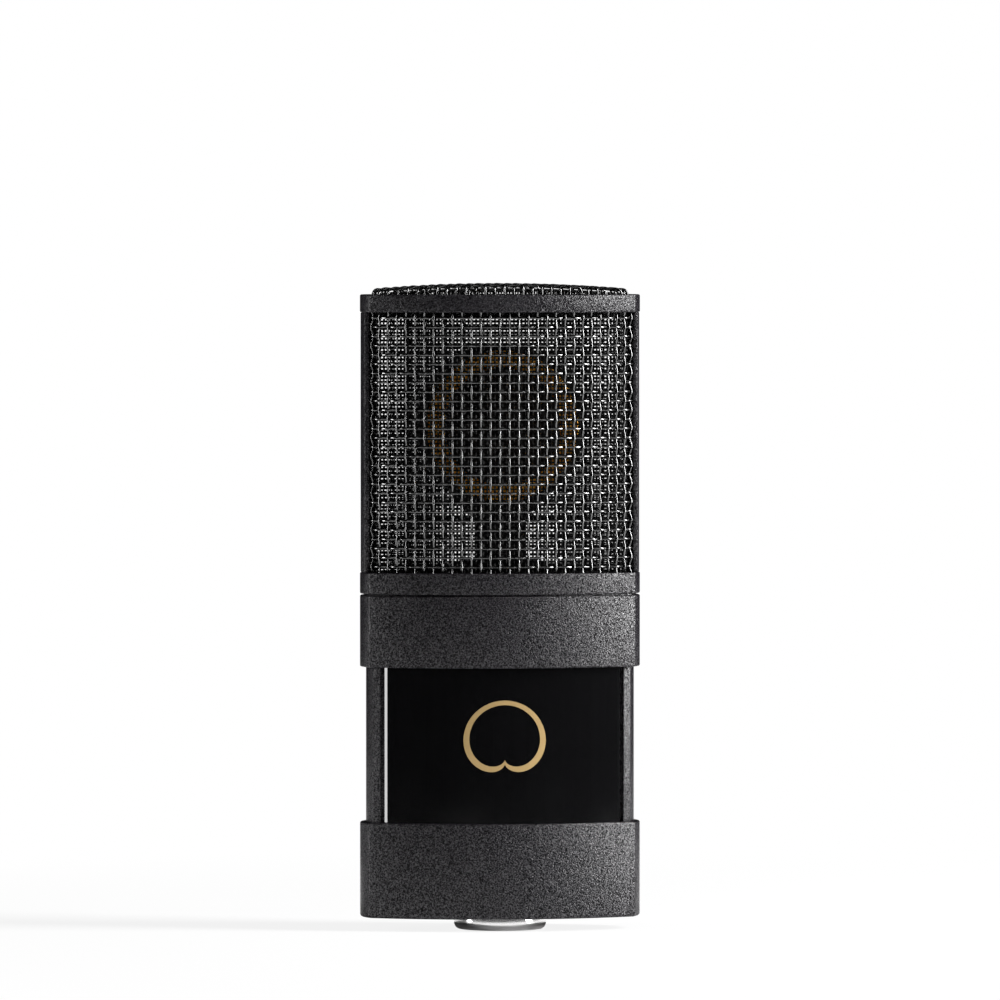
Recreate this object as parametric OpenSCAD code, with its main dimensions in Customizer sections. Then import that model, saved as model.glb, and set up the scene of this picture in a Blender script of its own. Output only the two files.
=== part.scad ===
// Side-address condenser microphone.
// Millimetres. The origin is the centre of the connector's rim, where the microphone stands.
// +Z is up, the front faces -Y and the width runs along X.

/* [Body] */
// Width of the collars and the head rings
body_w = 63; // [56:0.5:80]
// Depth of the collars and the head rings, front to back
body_d = 28; // [27.5:0.5:40]
// Width of the narrow side faces, front to back
side_w = 12; // [10:0.5:15]
// Bulge of the side faces
side_bulge = 1.6; // [1:0.1:2.4]
// Height of the lower collar
lower_collar_h = 21.4; // [18:0.1:30]
// Height of the waist that shows between the collars
waist_h = 34.8; // [28:0.1:60]
// Height of the upper collar
upper_collar_h = 16.1; // [12:0.1:24]
// How far the waist is set in from the collars
waist_inset = 1.35; // [1:0.05:2]
// Wall of the waist shell
waist_wall = 2; // [1.8:0.1:2.2]
// Thickness of the lower collar's floor
floor_t = 2.5; // [2:0.1:4]
// Thickness of the web across the top of the upper collar
web_t = 2.5; // [2:0.1:4]
// Cable opening in that web, across
web_opening_w = 28; // [20:0.5:30]
// Cable opening in that web, front to back
web_opening_d = 15; // [14:0.5:16]

/* [Panels] */
// Width of the front and rear panels
panel_w = 52.9; // [40:0.1:53.5]
// Thickness of the panels
panel_t = 1; // [0.6:0.1:1.1]
// Open groove on each side of a panel
panel_groove = 0.8; // [0.3:0.1:1.2]
// How far a panel reaches under each collar
panel_tuck = 1.8; // [1:0.1:4]
// How far a panel's face lies below the shell's face
panel_drop = 0.1; // [0.05:0.05:0.4]
// Width of the sign on the front panel
mark_w = 18.5; // [8:0.5:26]
// Height of the sign's middle above the middle of the panel
mark_rise = 2.2; // [0:0.1:4]
// Line width of the sign
mark_line = 1.3; // [0.6:0.1:2]
// Thickness of the sign
mark_t = 0.06; // [0.04:0.01:0.1]

/* [Head] */
// Height of the ring under the grille
base_ring_h = 4.8; // [4:0.1:10]
// Height of the grille window
window_h = 58.3; // [55:0.1:80]
// Height of the ring above the grille
top_ring_h = 4; // [3:0.1:8]
// Height of the dome above the top ring
dome_h = 2.5; // [2:0.1:6]
// Height of the dome's straight edge above the top ring
dome_edge_h = 1.3; // [0.6:0.1:1.6]
// How far the dome is set in from the top ring's face
dome_inset = 2.75; // [2.4:0.05:4]
// Open seam between head and body
seam_h = 0.3; // [0.1:0.05:0.6]
// Depth of that seam
seam_depth = 0.9; // [0.5:0.1:2]
// Wall of the rings in front of the grille
ring_wall = 1.15; // [0.9:0.05:1.4]
// Thickness of the base ring's inner flange
flange_t = 1.6; // [1.2:0.1:2.4]
// Inner edge of that flange, from the ring's face
flange_in = 6.5; // [6:0.1:7]
// Thickness of the top ring's lip over the grilles
lip_t = 1.5; // [1:0.1:2]
// Width of the side posts
post_w = 7.8; // [5:0.1:10]
// How far the posts are set in from the rings
post_recess = 0.15; // [0.05:0.05:0.4]
// Width of the rib behind each post
rib_w = 2.4; // [1.6:0.1:4]

/* [Grilles] */
// Wire of the coarse outer weave
coarse_wire = 0.5; // [0.4:0.05:0.6]
// Wire of the fine inner weave
fine_wire = 0.25; // [0.15:0.05:0.35]
// Space between the two weaves
layer_gap = 0.1; // [0.05:0.05:0.3]

/* [Capsule] */
// Outside diameter of the clamp ring
capsule_d = 34; // [28:0.5:41]
// Diameter of the diaphragm that shows inside the ring
opening_d = 26; // [20:0.5:27]
// Height of the capsule's centre above the base ring
capsule_rise = 32.8; // [30:0.1:36]
// Distance of the housing's front face from the middle of the head
capsule_front = 5.8; // [4:0.1:6.5]
// Depth of the capsule housing
housing_depth = 10; // [9:0.1:12]
// Thickness of the clamp ring
clamp_t = 1.4; // [1:0.1:2]
// Bevel on the clamp ring's edges
clamp_bevel = 0.5; // [0.2:0.1:0.6]
// Thickness of the diaphragm and of its spacer
film_t = 0.1; // [0.05:0.01:0.2]
// Thickness of the backplate
backplate_t = 5; // [4:0.1:6]
// Thickness of the rear plate
rear_plate_t = 2.6; // [1.5:0.1:3]
// Number of clamp ring screws
clamp_screws = 12; // [6:1:16]
// Thickness of the cradle and stem, front to back
cradle_d = 8; // [6:0.1:9]
// Width of the cradle's saddle
saddle_w = 21; // [14:0.5:26]
// Width of the stem
stem_w = 11; // [8:0.5:13]
// Width of the stem's foot
foot_w = 20; // [18:0.5:26]
// Thickness of the stem's foot
foot_t = 2; // [1.5:0.1:3]
// Thickness of the rubber pad under the foot
pad_t = 1.5; // [1:0.1:3]
// Thickness of the deck that closes the head
deck_t = 2; // [1.8:0.1:2.6]

/* [Connector] */
// How far the connector's ring stands below the lower collar
ring_h = 2.8; // [2:0.1:5]
// Diameter of the connector's ring
ring_d = 20.5; // [20:0.1:22]
// Rounding of the ring's lower edge
ring_round = 1.2; // [0.4:0.1:1.4]
// Diameter of the connector's barrel above the ring
barrel_d = 18.2; // [17.6:0.1:18.6]
// Height of the barrel
barrel_h = 21; // [20:0.1:24]
// Bore of the socket
socket_d = 16.1; // [15.9:0.1:16.4]
// Bore of the socket's lead-in
lead_in_d = 16.6; // [16.5:0.1:16.8]
// Depth of the lead-in
lead_in_h = 2.4; // [1.5:0.1:2.6]
// Depth of the socket
socket_depth = 15; // [14:0.1:16]
// Thickness of the connector's insert
insert_t = 5; // [4:0.1:5.6]
// Diameter of the contact pins
pin_d = 2.38; // [2.2:0.02:2.6]
// Distance of each pin from the socket's axis
pin_circle_r = 4.1; // [3.8:0.1:4.4]
// Height of the pins' tips above the rim
pin_tip_z = 2.8; // [2.8:0.1:4]
// Height of the nut that holds the barrel
nut_h = 3; // [2:0.1:5]
// Diameter of that nut
nut_d = 20.8; // [20.2:0.1:20.9]

/* [Electronics] */
// Width of the circuit board
board_w = 47; // [40:0.5:47.5]
// Height of the circuit board
board_h = 42; // [38:0.5:43]
// Thickness of the circuit board
board_t = 1.6; // [1:0.1:1.6]
// Width of the chassis rails
rail_w = 5; // [4:0.1:5.5]
// Depth of the chassis rails, front to back
rail_d = 6; // [5:0.1:6.5]
// Diameter of the capsule lead
lead_d = 1.2; // [0.8:0.1:1.4]
// Diameter of the output leads
wire_d = 1; // [0.6:0.1:1.2]

/* [Fits] */
// Radial or side gap between pieces that fit into each other
fit = 0.05; // [0.02:0.01:0.1]
// Diameter of the machine screws' threads
screw_d = 2; // [1.6:0.1:2.2]
// Diameter of the machine screws' heads
head_d = 3.6; // [3:0.1:3.8]
// Height of the machine screws' heads
head_h = 1; // [0.8:0.1:1.2]

/* [Hidden] */
$fn = 180;
SMALL = 48;  // facets of small round parts
CUT = 1;     // how far a cutting shape runs past the solid
BEAD = 1.3;  // size of the bead at a wire's bend, as a share of the wire

// Heights from the rim of the connector up
z_floor = ring_h + floor_t;
z_waist = ring_h + lower_collar_h;
z_upper = z_waist + waist_h;
z_collar_top = z_upper + upper_collar_h;
z_web = z_collar_top - web_t;
z_head = z_collar_top + seam_h;
z_flange = z_head + flange_t;
z_window = z_head + base_ring_h;
z_top_ring = z_window + window_h;
z_top = z_top_ring + top_ring_h;
z_lip = z_top - lip_t;
z_crown = z_top + dome_h;
z_deck = z_flange + deck_t;
z_pad = z_deck + pad_t;
z_foot = z_pad + foot_t;

// The outline: two wide face arcs and two narrow side arcs that meet at four creases
crease_x = body_w / 2 - side_bulge;
face_sag = (body_d - side_w) / 2;
face_r = (pow(crease_x, 2) + pow(face_sag, 2)) / (2 * face_sag);
face_y = face_r - body_d / 2;
side_r = (pow(side_w / 2, 2) + pow(side_bulge, 2)) / (2 * side_bulge);
side_x = body_w / 2 - side_r;
centres = norm([side_x, face_y]);
CREASE_LAP = 1;  // how far the side circles reach in past the creases

// Insets from the outline, from the rings' wall inwards
outer_in = ring_wall + fit;
outer_t = 2 * coarse_wire;
inner_in = outer_in + outer_t + layer_gap;
inner_t = 2 * fine_wire;
rib_in = inner_in + inner_t + fit;
deck_in = rib_in + fit;
dome_inner_in = dome_inset + outer_t + layer_gap;
grille_y = rib_w / 2 + fit;
panel_in = waist_inset + panel_drop;
recess_in = panel_in + panel_t + fit;
recess_w = panel_w + 2 * panel_groove;
recess_end = 0.2;  // gap above and below a panel in its recess

// Dome: an arch over the width of the head
dome_half_w = body_w / 2 - dome_inset;
dome_rise = dome_h - dome_edge_h;
crown_r = (pow(dome_half_w, 2) + pow(dome_rise, 2)) / (2 * dome_rise);

// Capsule
capsule_z = z_window + capsule_rise;
backplate_d = capsule_d - 0.5;
housing_d = capsule_d + 3;
film_d = backplate_d - 0.5;
stack_front = capsule_front - 2 * film_t;
backplate_back = stack_front - backplate_t;
chamber = 0.6;  // air gap behind the backplate
rear_plate_front = backplate_back - chamber;
rear_plate_back = rear_plate_front - rear_plate_t;
housing_back = capsule_front - housing_depth;
clamp_circle_r = (capsule_d + opening_d) / 4;
clamp_screw_d = 1.2;
clamp_head_d = 2;
clamp_head_h = 0.6;
clamp_screw_l = 4;
cup_z = capsule_z - housing_d / 2;
saddle_y = -(capsule_front + housing_back) / 2;
shoulder_z = cup_z + 2;
stem_top_z = cup_z - 2.5;
cradle_screw_top = cup_z + 1;
foot_screw_x = foot_w / 2 - 2.5;
foot_d = 10;
lead_y = foot_d / 2 + lead_d / 2 + 0.8;
terminal_r = opening_d / 2 - 2.5;

// Fasteners
hole_d = screw_d + 2 * fit;
sink_d = head_d + 2 * fit;
head_screw_x = body_w / 2 - 11.5;
SCREW_WALL = 0.3;  // wall of the deck outside a head screw's pocket
head_screw_y = face_y_at(head_screw_x, deck_in + sink_d / 2 + SCREW_WALL);
slot_w = 0.5;
slot_t = 0.4;

// Board and rails
rail_x = (board_w - rail_w) / 2;
board_z = barrel_h + 5;
board_back = -rail_d / 2;
board_front = board_back - board_t;
board_screw_z = 4;
rail_hole_l = 8;
rail_screw_l = 7;
input_z = board_z + board_h - 5;
terminal_h = 4.5;
leg_w = 0.6;  // width of the components' flat legs

// Connector
PIN_ANGLES = [-90, 20, 160];
cup_top_z = socket_depth + insert_t + 3.5;
cup_bore_d = pin_d - 0.8;
cup_bore_h = 2.5;
lock_z = socket_depth + insert_t / 2;

// ---- Shared shapes ----

// Where the face arc and the side arc meet, when both are set in by the same amount
function crease_at(inset) =
  let (
    a = (pow(face_r - inset, 2) - pow(side_r - inset, 2) + pow(centres, 2)) / (2 * centres),
    h = sqrt(pow(face_r - inset, 2) - pow(a, 2))
  )
  (a * side_x + h * face_y) / centres;

// How far the face arc stands from the middle at x, when it is set in
function face_y_at(x, inset) = sqrt(pow(face_r - inset, 2) - pow(x, 2)) - face_y;

// The body's outline, set in all round by the same amount
module outline(inset) {
  intersection() {
    translate([0, face_y]) circle(r = face_r - inset);
    translate([0, -face_y]) circle(r = face_r - inset);
    union() {
      square([2 * (crease_at(inset) - CREASE_LAP), 2 * body_d], center = true);
      for (side = [-1, 1]) translate([side * side_x, 0]) circle(r = side_r - inset);
    }
  }
}

// A flat band between two insets
module band(outer, inner) {
  difference() {
    outline(outer);
    outline(inner);
  }
}

module slab(z0, z1) {
  translate([0, 0, z0]) linear_extrude(z1 - z0) children();
}

// Keeps the part of a flat shape on one side of the head, front = -1 or back = 1
module half(side, from) {
  intersection() {
    children();
    translate([0, side * (from + body_d)]) square([2 * body_w, 2 * body_d], center = true);
  }
}

// Keeps a strip of a flat shape on the left (-1) or right (1), as wide as the strip
module side_strip(side, width) {
  intersection() {
    children();
    translate([side * body_w / 2, 0]) square([body_w, width], center = true);
  }
}

// Turns the local +Z to the front of the capsule
module at_capsule() {
  translate([0, 0, capsule_z]) rotate([90, 0, 0]) children();
}

module around(count, radius) {
  for (i = [0 : count - 1]) rotate(360 * (i + 0.5) / count) translate([radius, 0, 0]) children();
}

module four_corners(x, y) {
  for (sx = [-1, 1], sy = [-1, 1]) translate([sx * x, sy * y, 0]) children();
}

// A machine screw whose head's top is at z = 0 and whose thread points down
module screw(length, d = screw_d, hd = head_d, hh = head_h) {
  difference() {
    union() {
      translate([0, 0, -hh]) cylinder(h = hh, d = hd, $fn = SMALL);
      translate([0, 0, -length]) cylinder(h = length - hh / 2, d = d, $fn = SMALL);
    }
    cube([hd + CUT, slot_w, 2 * slot_t], center = true);
  }
}

// The hole for that screw: a pocket for the head and a bore for the thread
module screw_hole(length, d = hole_d, hd = sink_d, hh = head_h) {
  translate([0, 0, -hh]) cylinder(h = hh + CUT, d = hd, $fn = SMALL);
  translate([0, 0, -length]) cylinder(h = length, d = d, $fn = SMALL);
}

module rod(a, b, d) {
  v = b - a;
  translate(a) rotate([0, acos(v.z / norm(v)), atan2(v.y, v.x)])
    cylinder(h = norm(v), d = d, $fn = SMALL);
}

// A wire along straight runs, with a round bead at each bend
module wire(points, d) {
  for (i = [0 : len(points) - 2]) rod(points[i], points[i + 1], d);
  for (i = [1 : len(points) - 2]) translate(points[i]) sphere(d = BEAD * d, $fn = SMALL);
}

// ---- Head ----

module head_base_ring() {
  color("#2b2a2c") difference() {
    union() {
      slab(z_collar_top, z_head) outline(seam_depth);
      slab(z_head, z_window) outline(0);
    }
    slab(z_flange, z_window + CUT) outline(ring_wall);
    slab(z_collar_top - CUT, z_flange + CUT) outline(flange_in);
    four_corners(head_screw_x, head_screw_y)
      translate([0, 0, z_collar_top - CUT]) cylinder(h = flange_t + 2 * CUT, d = hole_d, $fn = SMALL);
  }
}

// The flat of the post stands between the rings and its rib reaches behind them
module head_post(side) {
  slab(z_window, z_top_ring) side_strip(side, post_w) band(post_recess, ring_wall);
  slab(z_window, z_top_ring) side_strip(side, rib_w) band(post_recess, rib_in);
  slab(z_flange, z_lip) side_strip(side, rib_w) band(outer_in, rib_in);
}

module head_post_left() { color("#2b2a2c") head_post(-1); }

module head_post_right() { color("#2b2a2c") head_post(1); }

module top_ring() {
  color("#2b2a2c") difference() {
    slab(z_top_ring, z_top) outline(0);
    slab(z_top_ring - CUT, z_lip) outline(ring_wall);
    slab(z_lip - CUT, z_top + CUT) outline(dome_inset - fit);
  }
}

// Woven wire, drawn as a sheet as thick as the weave
module grille(side, inset, thickness) {
  slab(z_flange, z_lip) half(side, grille_y) band(inset, inset + thickness);
}

module front_outer_grille() { color("#1c1c1e") grille(-1, outer_in, outer_t); }

module rear_outer_grille() { color("#1c1c1e") grille(1, outer_in, outer_t); }

module front_inner_grille() { color("#101012") grille(-1, inner_in, inner_t); }

module rear_inner_grille() { color("#101012") grille(1, inner_in, inner_t); }

// A block of the head's outline under the arch of the dome
module dome_block(inset, drop) {
  intersection() {
    slab(z_lip, z_crown + CUT) outline(inset);
    translate([0, 0, z_crown - crown_r]) rotate([90, 0, 0])
      cylinder(h = 2 * body_d, r = crown_r - drop, center = true, $fn = 2 * $fn);
  }
}

// A low cap of woven wire, open below
module dome(inset, drop, thickness) {
  difference() {
    dome_block(inset, drop);
    translate([0, 0, -CUT]) intersection() {
      translate([0, 0, CUT]) dome_block(inset + thickness, drop + thickness);
      slab(z_lip, z_crown + 2 * CUT) outline(inset + thickness);
    }
    slab(z_lip - CUT, z_lip + CUT) outline(inset + thickness);
  }
}

module top_outer_grille() { color("#1c1c1e") dome(dome_inset, 0, outer_t); }

module top_inner_grille() {
  color("#101012") dome(dome_inner_in, outer_t + layer_gap, inner_t);
}

// ---- Capsule ----

module capsule_housing() {
  color("#151515") at_capsule() translate([0, 0, housing_back]) difference() {
    cylinder(h = housing_depth, d = housing_d);
    translate([0, 0, -CUT]) cylinder(h = housing_depth + 2 * CUT, d = backplate_d + 2 * fit);
    // thread for the screw that comes up through the stem
    translate([0, -housing_d / 2, housing_depth / 2]) rotate([90, 0, 0])
      cylinder(h = 2 * (cradle_screw_top - cup_z), d = hole_d, center = true, $fn = SMALL);
  }
}

module capsule_backplate() {
  color("#b08d4a") at_capsule() difference() {
    translate([0, 0, backplate_back]) cylinder(h = backplate_t, d = backplate_d);
    translate([0, 0, stack_front - clamp_screw_l]) around(clamp_screws, clamp_circle_r)
      cylinder(h = clamp_screw_l + CUT, d = clamp_screw_d + 2 * fit, $fn = SMALL);
    for (ring = [1 : 3]) translate([0, 0, stack_front - 2.5]) around(6 * ring, 3.4 * ring)
      cylinder(h = 2.5 + CUT, d = 1, $fn = 24);
  }
}

module film(back, inner_d) {
  translate([0, 0, back]) linear_extrude(film_t) difference() {
    circle(d = film_d);
    if (inner_d > 0) circle(d = inner_d);
    around(clamp_screws, clamp_circle_r) circle(d = clamp_screw_d + 2 * fit, $fn = SMALL);
  }
}

module diaphragm_spacer() { color("#d8c9a0") at_capsule() film(stack_front, opening_d + 1); }

module front_diaphragm() { color("#c79a3a") at_capsule() film(stack_front + film_t, 0); }

module front_clamp_ring() {
  ro = capsule_d / 2;
  ri = opening_d / 2;
  b = clamp_bevel;
  color("#c49a50") at_capsule() translate([0, 0, capsule_front]) difference() {
    rotate_extrude() polygon([
      [ri, 0], [ro, 0], [ro, clamp_t - b], [ro - b, clamp_t], [ri + b, clamp_t], [ri, clamp_t - b]
    ]);
    around(clamp_screws, clamp_circle_r) translate([0, 0, clamp_t])
      screw_hole(clamp_t + CUT, clamp_screw_d + 2 * fit, clamp_head_d + 2 * fit, clamp_head_h);
  }
}

module clamp_ring_screws() {
  color("#d8b260") at_capsule() translate([0, 0, capsule_front + clamp_t])
    around(clamp_screws, clamp_circle_r)
      screw(clamp_screw_l, clamp_screw_d, clamp_head_d, clamp_head_h);
}

module rear_plate() {
  color("#b08d4a") at_capsule() translate([0, 0, rear_plate_back]) difference() {
    cylinder(h = rear_plate_t, d = backplate_d);
    translate([0, 0, -CUT]) around(8, 5) cylinder(h = rear_plate_t + 2 * CUT, d = 1.4, $fn = 24);
    translate([0, 0, -CUT]) around(16, 8) cylinder(h = rear_plate_t + 2 * CUT, d = 1.4, $fn = 24);
  }
}

module rear_retaining_ring() {
  color("#1a1a1a") at_capsule() translate([0, 0, housing_back]) difference() {
    cylinder(h = rear_plate_back - housing_back, d = backplate_d);
    translate([0, 0, -CUT]) cylinder(h = housing_depth, d = opening_d);
    // notches for the spanner that turns the ring
    translate([0, 0, -CUT]) around(4, backplate_d / 2)
      cube([4, 2, 2 * (CUT + 0.7)], center = true);
  }
}

module capsule_cradle() {
  color("#141414") difference() {
    union() {
      translate([0, saddle_y, 0]) rotate([90, 0, 0]) translate([0, 0, -cradle_d / 2])
        linear_extrude(cradle_d) difference() {
          polygon([
            [-saddle_w / 2, shoulder_z + 2], [-saddle_w / 2, shoulder_z],
            [-stem_w / 2, stem_top_z], [-stem_w / 2, z_pad],
            [stem_w / 2, z_pad], [stem_w / 2, stem_top_z],
            [saddle_w / 2, shoulder_z], [saddle_w / 2, shoulder_z + 2]
          ]);
          translate([0, capsule_z]) circle(d = housing_d + 2 * fit);
        }
      slab(z_pad, z_foot) translate([0, saddle_y]) square([foot_w, foot_d], center = true);
    }
    // a long screw runs up through the stem, its head sunk in the foot
    translate([0, saddle_y, z_pad - CUT])
      cylinder(h = cup_z - z_pad + 2 * CUT, d = hole_d, $fn = SMALL);
    translate([0, saddle_y, z_pad - CUT]) cylinder(h = CUT + head_h, d = sink_d, $fn = SMALL);
    for (side = [-1, 1]) translate([side * foot_screw_x, saddle_y, z_pad - CUT])
      cylinder(h = foot_t + 2 * CUT, d = hole_d, $fn = SMALL);
  }
}

module cradle_screw() {
  color("#8c8c90") translate([0, saddle_y, z_pad]) mirror([0, 0, 1])
    screw(cradle_screw_top - z_pad);
}

module isolation_pad() {
  color("#222222") difference() {
    slab(z_deck, z_pad) translate([0, saddle_y]) square([foot_w, foot_d], center = true);
    for (side = [-1, 1]) translate([side * foot_screw_x, saddle_y, z_deck - CUT])
      cylinder(h = pad_t + 2 * CUT, d = hole_d, $fn = SMALL);
  }
}

module stem_screws() {
  color("#8c8c90") for (side = [-1, 1])
    translate([side * foot_screw_x, saddle_y, z_foot + head_h])
      screw(head_h + foot_t + pad_t + deck_t - 2 * fit);
}

module capsule_deck() {
  color("#1a1a1c") difference() {
    slab(z_flange, z_deck) outline(deck_in);
    for (side = [-1, 1]) translate([side * foot_screw_x, saddle_y, z_flange - CUT])
      cylinder(h = deck_t + 2 * CUT, d = hole_d, $fn = SMALL);
    translate([0, lead_y, z_flange - CUT])
      cylinder(h = deck_t + 2 * CUT, d = lead_d + 0.4, $fn = SMALL);
    four_corners(head_screw_x, head_screw_y) translate([0, 0, z_deck])
      screw_hole(deck_t + CUT);
  }
}

module head_screws() {
  color("#8c8c90") four_corners(head_screw_x, head_screw_y) translate([0, 0, z_deck])
    screw(z_deck - z_web - 2 * fit);
}

// From the rear plate, down behind the stem and through the deck to the board
module capsule_lead() {
  start_y = -rear_plate_back + fit;
  color("#b0282a") wire([
    [0, start_y, capsule_z - terminal_r],
    [0, lead_y, capsule_z - terminal_r],
    [0, lead_y, z_web - 1],
    [0, board_back + terminal_h + lead_d / 2 + fit, input_z]
  ], lead_d);
}

// ---- Body ----

module upper_collar() {
  color("#2b2a2c") difference() {
    slab(z_upper, z_collar_top) outline(0);
    slab(z_upper - CUT, z_web) outline(waist_inset - fit);
    slab(z_web - CUT, z_collar_top + CUT) square([web_opening_w, web_opening_d], center = true);
    four_corners(head_screw_x, head_screw_y) translate([0, 0, z_web - CUT])
      cylinder(h = web_t + 2 * CUT, d = hole_d, $fn = SMALL);
    for (side = [-1, 1]) translate([side * rail_x, 0, z_collar_top]) screw_hole(web_t + CUT);
  }
}

module panel_recess(side) {
  slab(z_waist - panel_tuck - recess_end, z_upper + panel_tuck + recess_end) intersection() {
    half(side, 0) band(0, recess_in);
    square([recess_w, 2 * body_d], center = true);
  }
}

module waist_shell() {
  color("#2b2a2c") difference() {
    slab(z_floor, z_web) band(waist_inset, waist_inset + waist_wall);
    panel_recess(-1);
    panel_recess(1);
  }
}

module panel(side) {
  slab(z_waist - panel_tuck, z_upper + panel_tuck) intersection() {
    half(side, 0) band(panel_in, panel_in + panel_t);
    square([panel_w, 2 * body_d], center = true);
  }
}

module front_panel() { color("#0b0b0c") panel(-1); }

module rear_panel() { color("#0b0b0c") panel(1); }

// Points of a cardioid, r = a (1 + cos t), whose dimple points down
function cardioid(a) = [
  for (t = [0 : 5 : 355]) a * (1 + cos(t)) * [sin(t), cos(t)]
];

module pattern_mark() {
  a = mark_w / (1.5 * sqrt(3));
  inner = (mark_w - 2 * mark_line) / (1.5 * sqrt(3));
  color("#c2a45c") intersection() {
    slab(z_waist, z_upper) half(-1, 0) band(panel_in - mark_t, panel_in);
    translate([0, 0, (z_waist + z_upper) / 2 + mark_rise - 0.875 * a]) rotate([90, 0, 0])
      linear_extrude(body_d) difference() {
        polygon(cardioid(a));
        translate([0, 0.75 * mark_line]) polygon(cardioid(inner));
      }
  }
}

module lower_collar() {
  color("#2b2a2c") difference() {
    slab(ring_h, z_waist) outline(0);
    slab(z_floor, z_waist + CUT) outline(waist_inset - fit);
    translate([0, 0, ring_h - CUT]) cylinder(h = floor_t + 2 * CUT, d = barrel_d + 2 * fit);
    for (side = [-1, 1]) translate([side * rail_x, 0, ring_h]) mirror([0, 0, 1])
      screw_hole(floor_t + CUT);
  }
}

module chassis_rails() {
  color("#a9abad") for (side = [-1, 1]) difference() {
    slab(z_floor, z_web) translate([side * rail_x, 0]) square([rail_w, rail_d], center = true);
    for (z = [z_floor - CUT, z_web - rail_hole_l]) translate([side * rail_x, 0, z])
      cylinder(h = rail_hole_l + CUT, d = hole_d, $fn = SMALL);
    for (z = [board_screw_z, board_h - board_screw_z])
      translate([side * rail_x, board_back - CUT, board_z + z]) rotate([-90, 0, 0])
        cylinder(h = rail_d - 1 + CUT, d = hole_d, $fn = SMALL);
  }
}

module rail_screws() {
  color("#8c8c90") for (side = [-1, 1]) translate([side * rail_x, 0, z_collar_top])
    screw(web_t + rail_screw_l);
}

module base_screws() {
  color("#3a3a3c") for (side = [-1, 1]) translate([side * rail_x, 0, ring_h]) mirror([0, 0, 1])
    screw(floor_t + rail_screw_l);
}

// ---- Electronics ----

// On the back of the board, x across and z up from the board's lower edge
module on_back(x, z) {
  translate([x, board_back, board_z + z]) rotate([-90, 0, 0]) children();
}

// On the front of the board
module on_front(x, z) {
  translate([x, board_front, board_z + z]) rotate([90, 0, 0]) children();
}

module circuit_board() {
  color("#1f5a34") difference() {
    translate([-board_w / 2, board_front, board_z]) cube([board_w, board_t, board_h]);
    for (side = [-1, 1], z = [board_screw_z, board_h - board_screw_z])
      translate([side * rail_x, board_back + CUT, board_z + z]) rotate([90, 0, 0])
        cylinder(h = board_t + 2 * CUT, d = hole_d, $fn = SMALL);
  }
}

module board_screws() {
  color("#8c8c90") for (side = [-1, 1], z = [board_screw_z, board_h - board_screw_z])
    on_front(side * rail_x, z) translate([0, 0, head_h]) screw(head_h + board_t + rail_d - 2);
}

module film_capacitors() {
  color("#a8322c") for (place = [[-8.4, 19], [8.4, 19], [-8.4, 26]])
    on_back(place.x, place.y) translate([-7.5, -2.5, 0]) cube([15, 5, 8.5]);
}

module electrolytic_capacitors() {
  color("#27406e") for (x = [-12, 0, 12]) on_back(x, 9.5) {
    cylinder(h = 10.5, d = 8, $fn = SMALL);
    translate([0, 0, 10.5]) cylinder(h = 0.4, d = 7, $fn = SMALL);
  }
}

// A small axial resistor, lying across, with its body raised on two flat bent legs
module resistor(body_d, body_l, raise) {
  reach = body_l / 2 + 1.2;
  translate([0, 0, raise]) rotate([0, 90, 0])
    cylinder(h = body_l, d = body_d, center = true, $fn = SMALL);
  rotate([90, 0, 0]) linear_extrude(leg_w, center = true) for (side = [-1, 1]) {
    translate([side * reach - leg_w / 2, 0]) square([leg_w, raise + leg_w / 2]);
    translate([side * (reach + body_l / 2) / 2, raise]) square([reach - body_l / 2, leg_w], center = true);
  }
}

module resistors() {
  color("#7aa0b8") for (x = [-12, 0, 12], z = [12, 18, 24, 30])
    on_front(x, z) resistor(2.2, 6, 1.6);
}

module transistors() {
  color("#1b1b1b") for (x = [3, 9, 15]) on_back(x, 27) {
    translate([0, 0, 2]) linear_extrude(4.6) intersection() {
      circle(d = 4.6, $fn = SMALL);
      translate([0, 0.8]) square([6, 4.6], center = true);
    }
    for (leg = [-1.27, 0, 1.27]) translate([leg, 0.5, 0]) cylinder(h = 2.5, d = 0.5, $fn = 24);
  }
}

module gate_resistor() { color("#c8b48a") on_back(-9, board_h - 8) resistor(3.2, 9, 2.4); }

module lead_terminals() {
  color("#e8e6df") for (x = [0, 8]) on_back(x, board_h - 5)
    cylinder(h = terminal_h, d = 3, $fn = SMALL);
}

// From the solder cups of the connector up to the back of the board
module output_leads() {
  color("#c9c9c4") for (i = [0 : 2]) {
    foot = pin_circle_r * [cos(PIN_ANGLES[i]), sin(PIN_ANGLES[i])];
    pad_x = [0, 5, -5][i];
    wire([
      [foot.x, foot.y, cup_top_z - cup_bore_h + fit],
      [foot.x, foot.y, cup_top_z + 0.5],
      [pad_x, board_back + wire_d / 2 + fit, board_z - 0.6],
      [pad_x, board_back + wire_d / 2 + fit, board_z + 3]
    ], wire_d);
  }
}

// ---- Connector ----

module xlr_barrel() {
  r = ring_d / 2;
  color("#9a9a9c") difference() {
    rotate_extrude() difference() {
      union() {
        square([r - ring_round, ring_h]);
        translate([0, ring_round]) square([r, ring_h - ring_round]);
        translate([r - ring_round, ring_round]) circle(r = ring_round, $fn = SMALL);
        square([barrel_d / 2, barrel_h]);
      }
      translate([-CUT, -CUT]) square([socket_d / 2 + CUT, barrel_h + 2 * CUT]);
      translate([-CUT, -CUT]) square([lead_in_d / 2 + CUT, lead_in_h + CUT]);
    }
    translate([0, 0, lock_z]) rotate([0, 90, 0])
      cylinder(h = barrel_d, d = hole_d, $fn = SMALL);
  }
}

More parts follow.
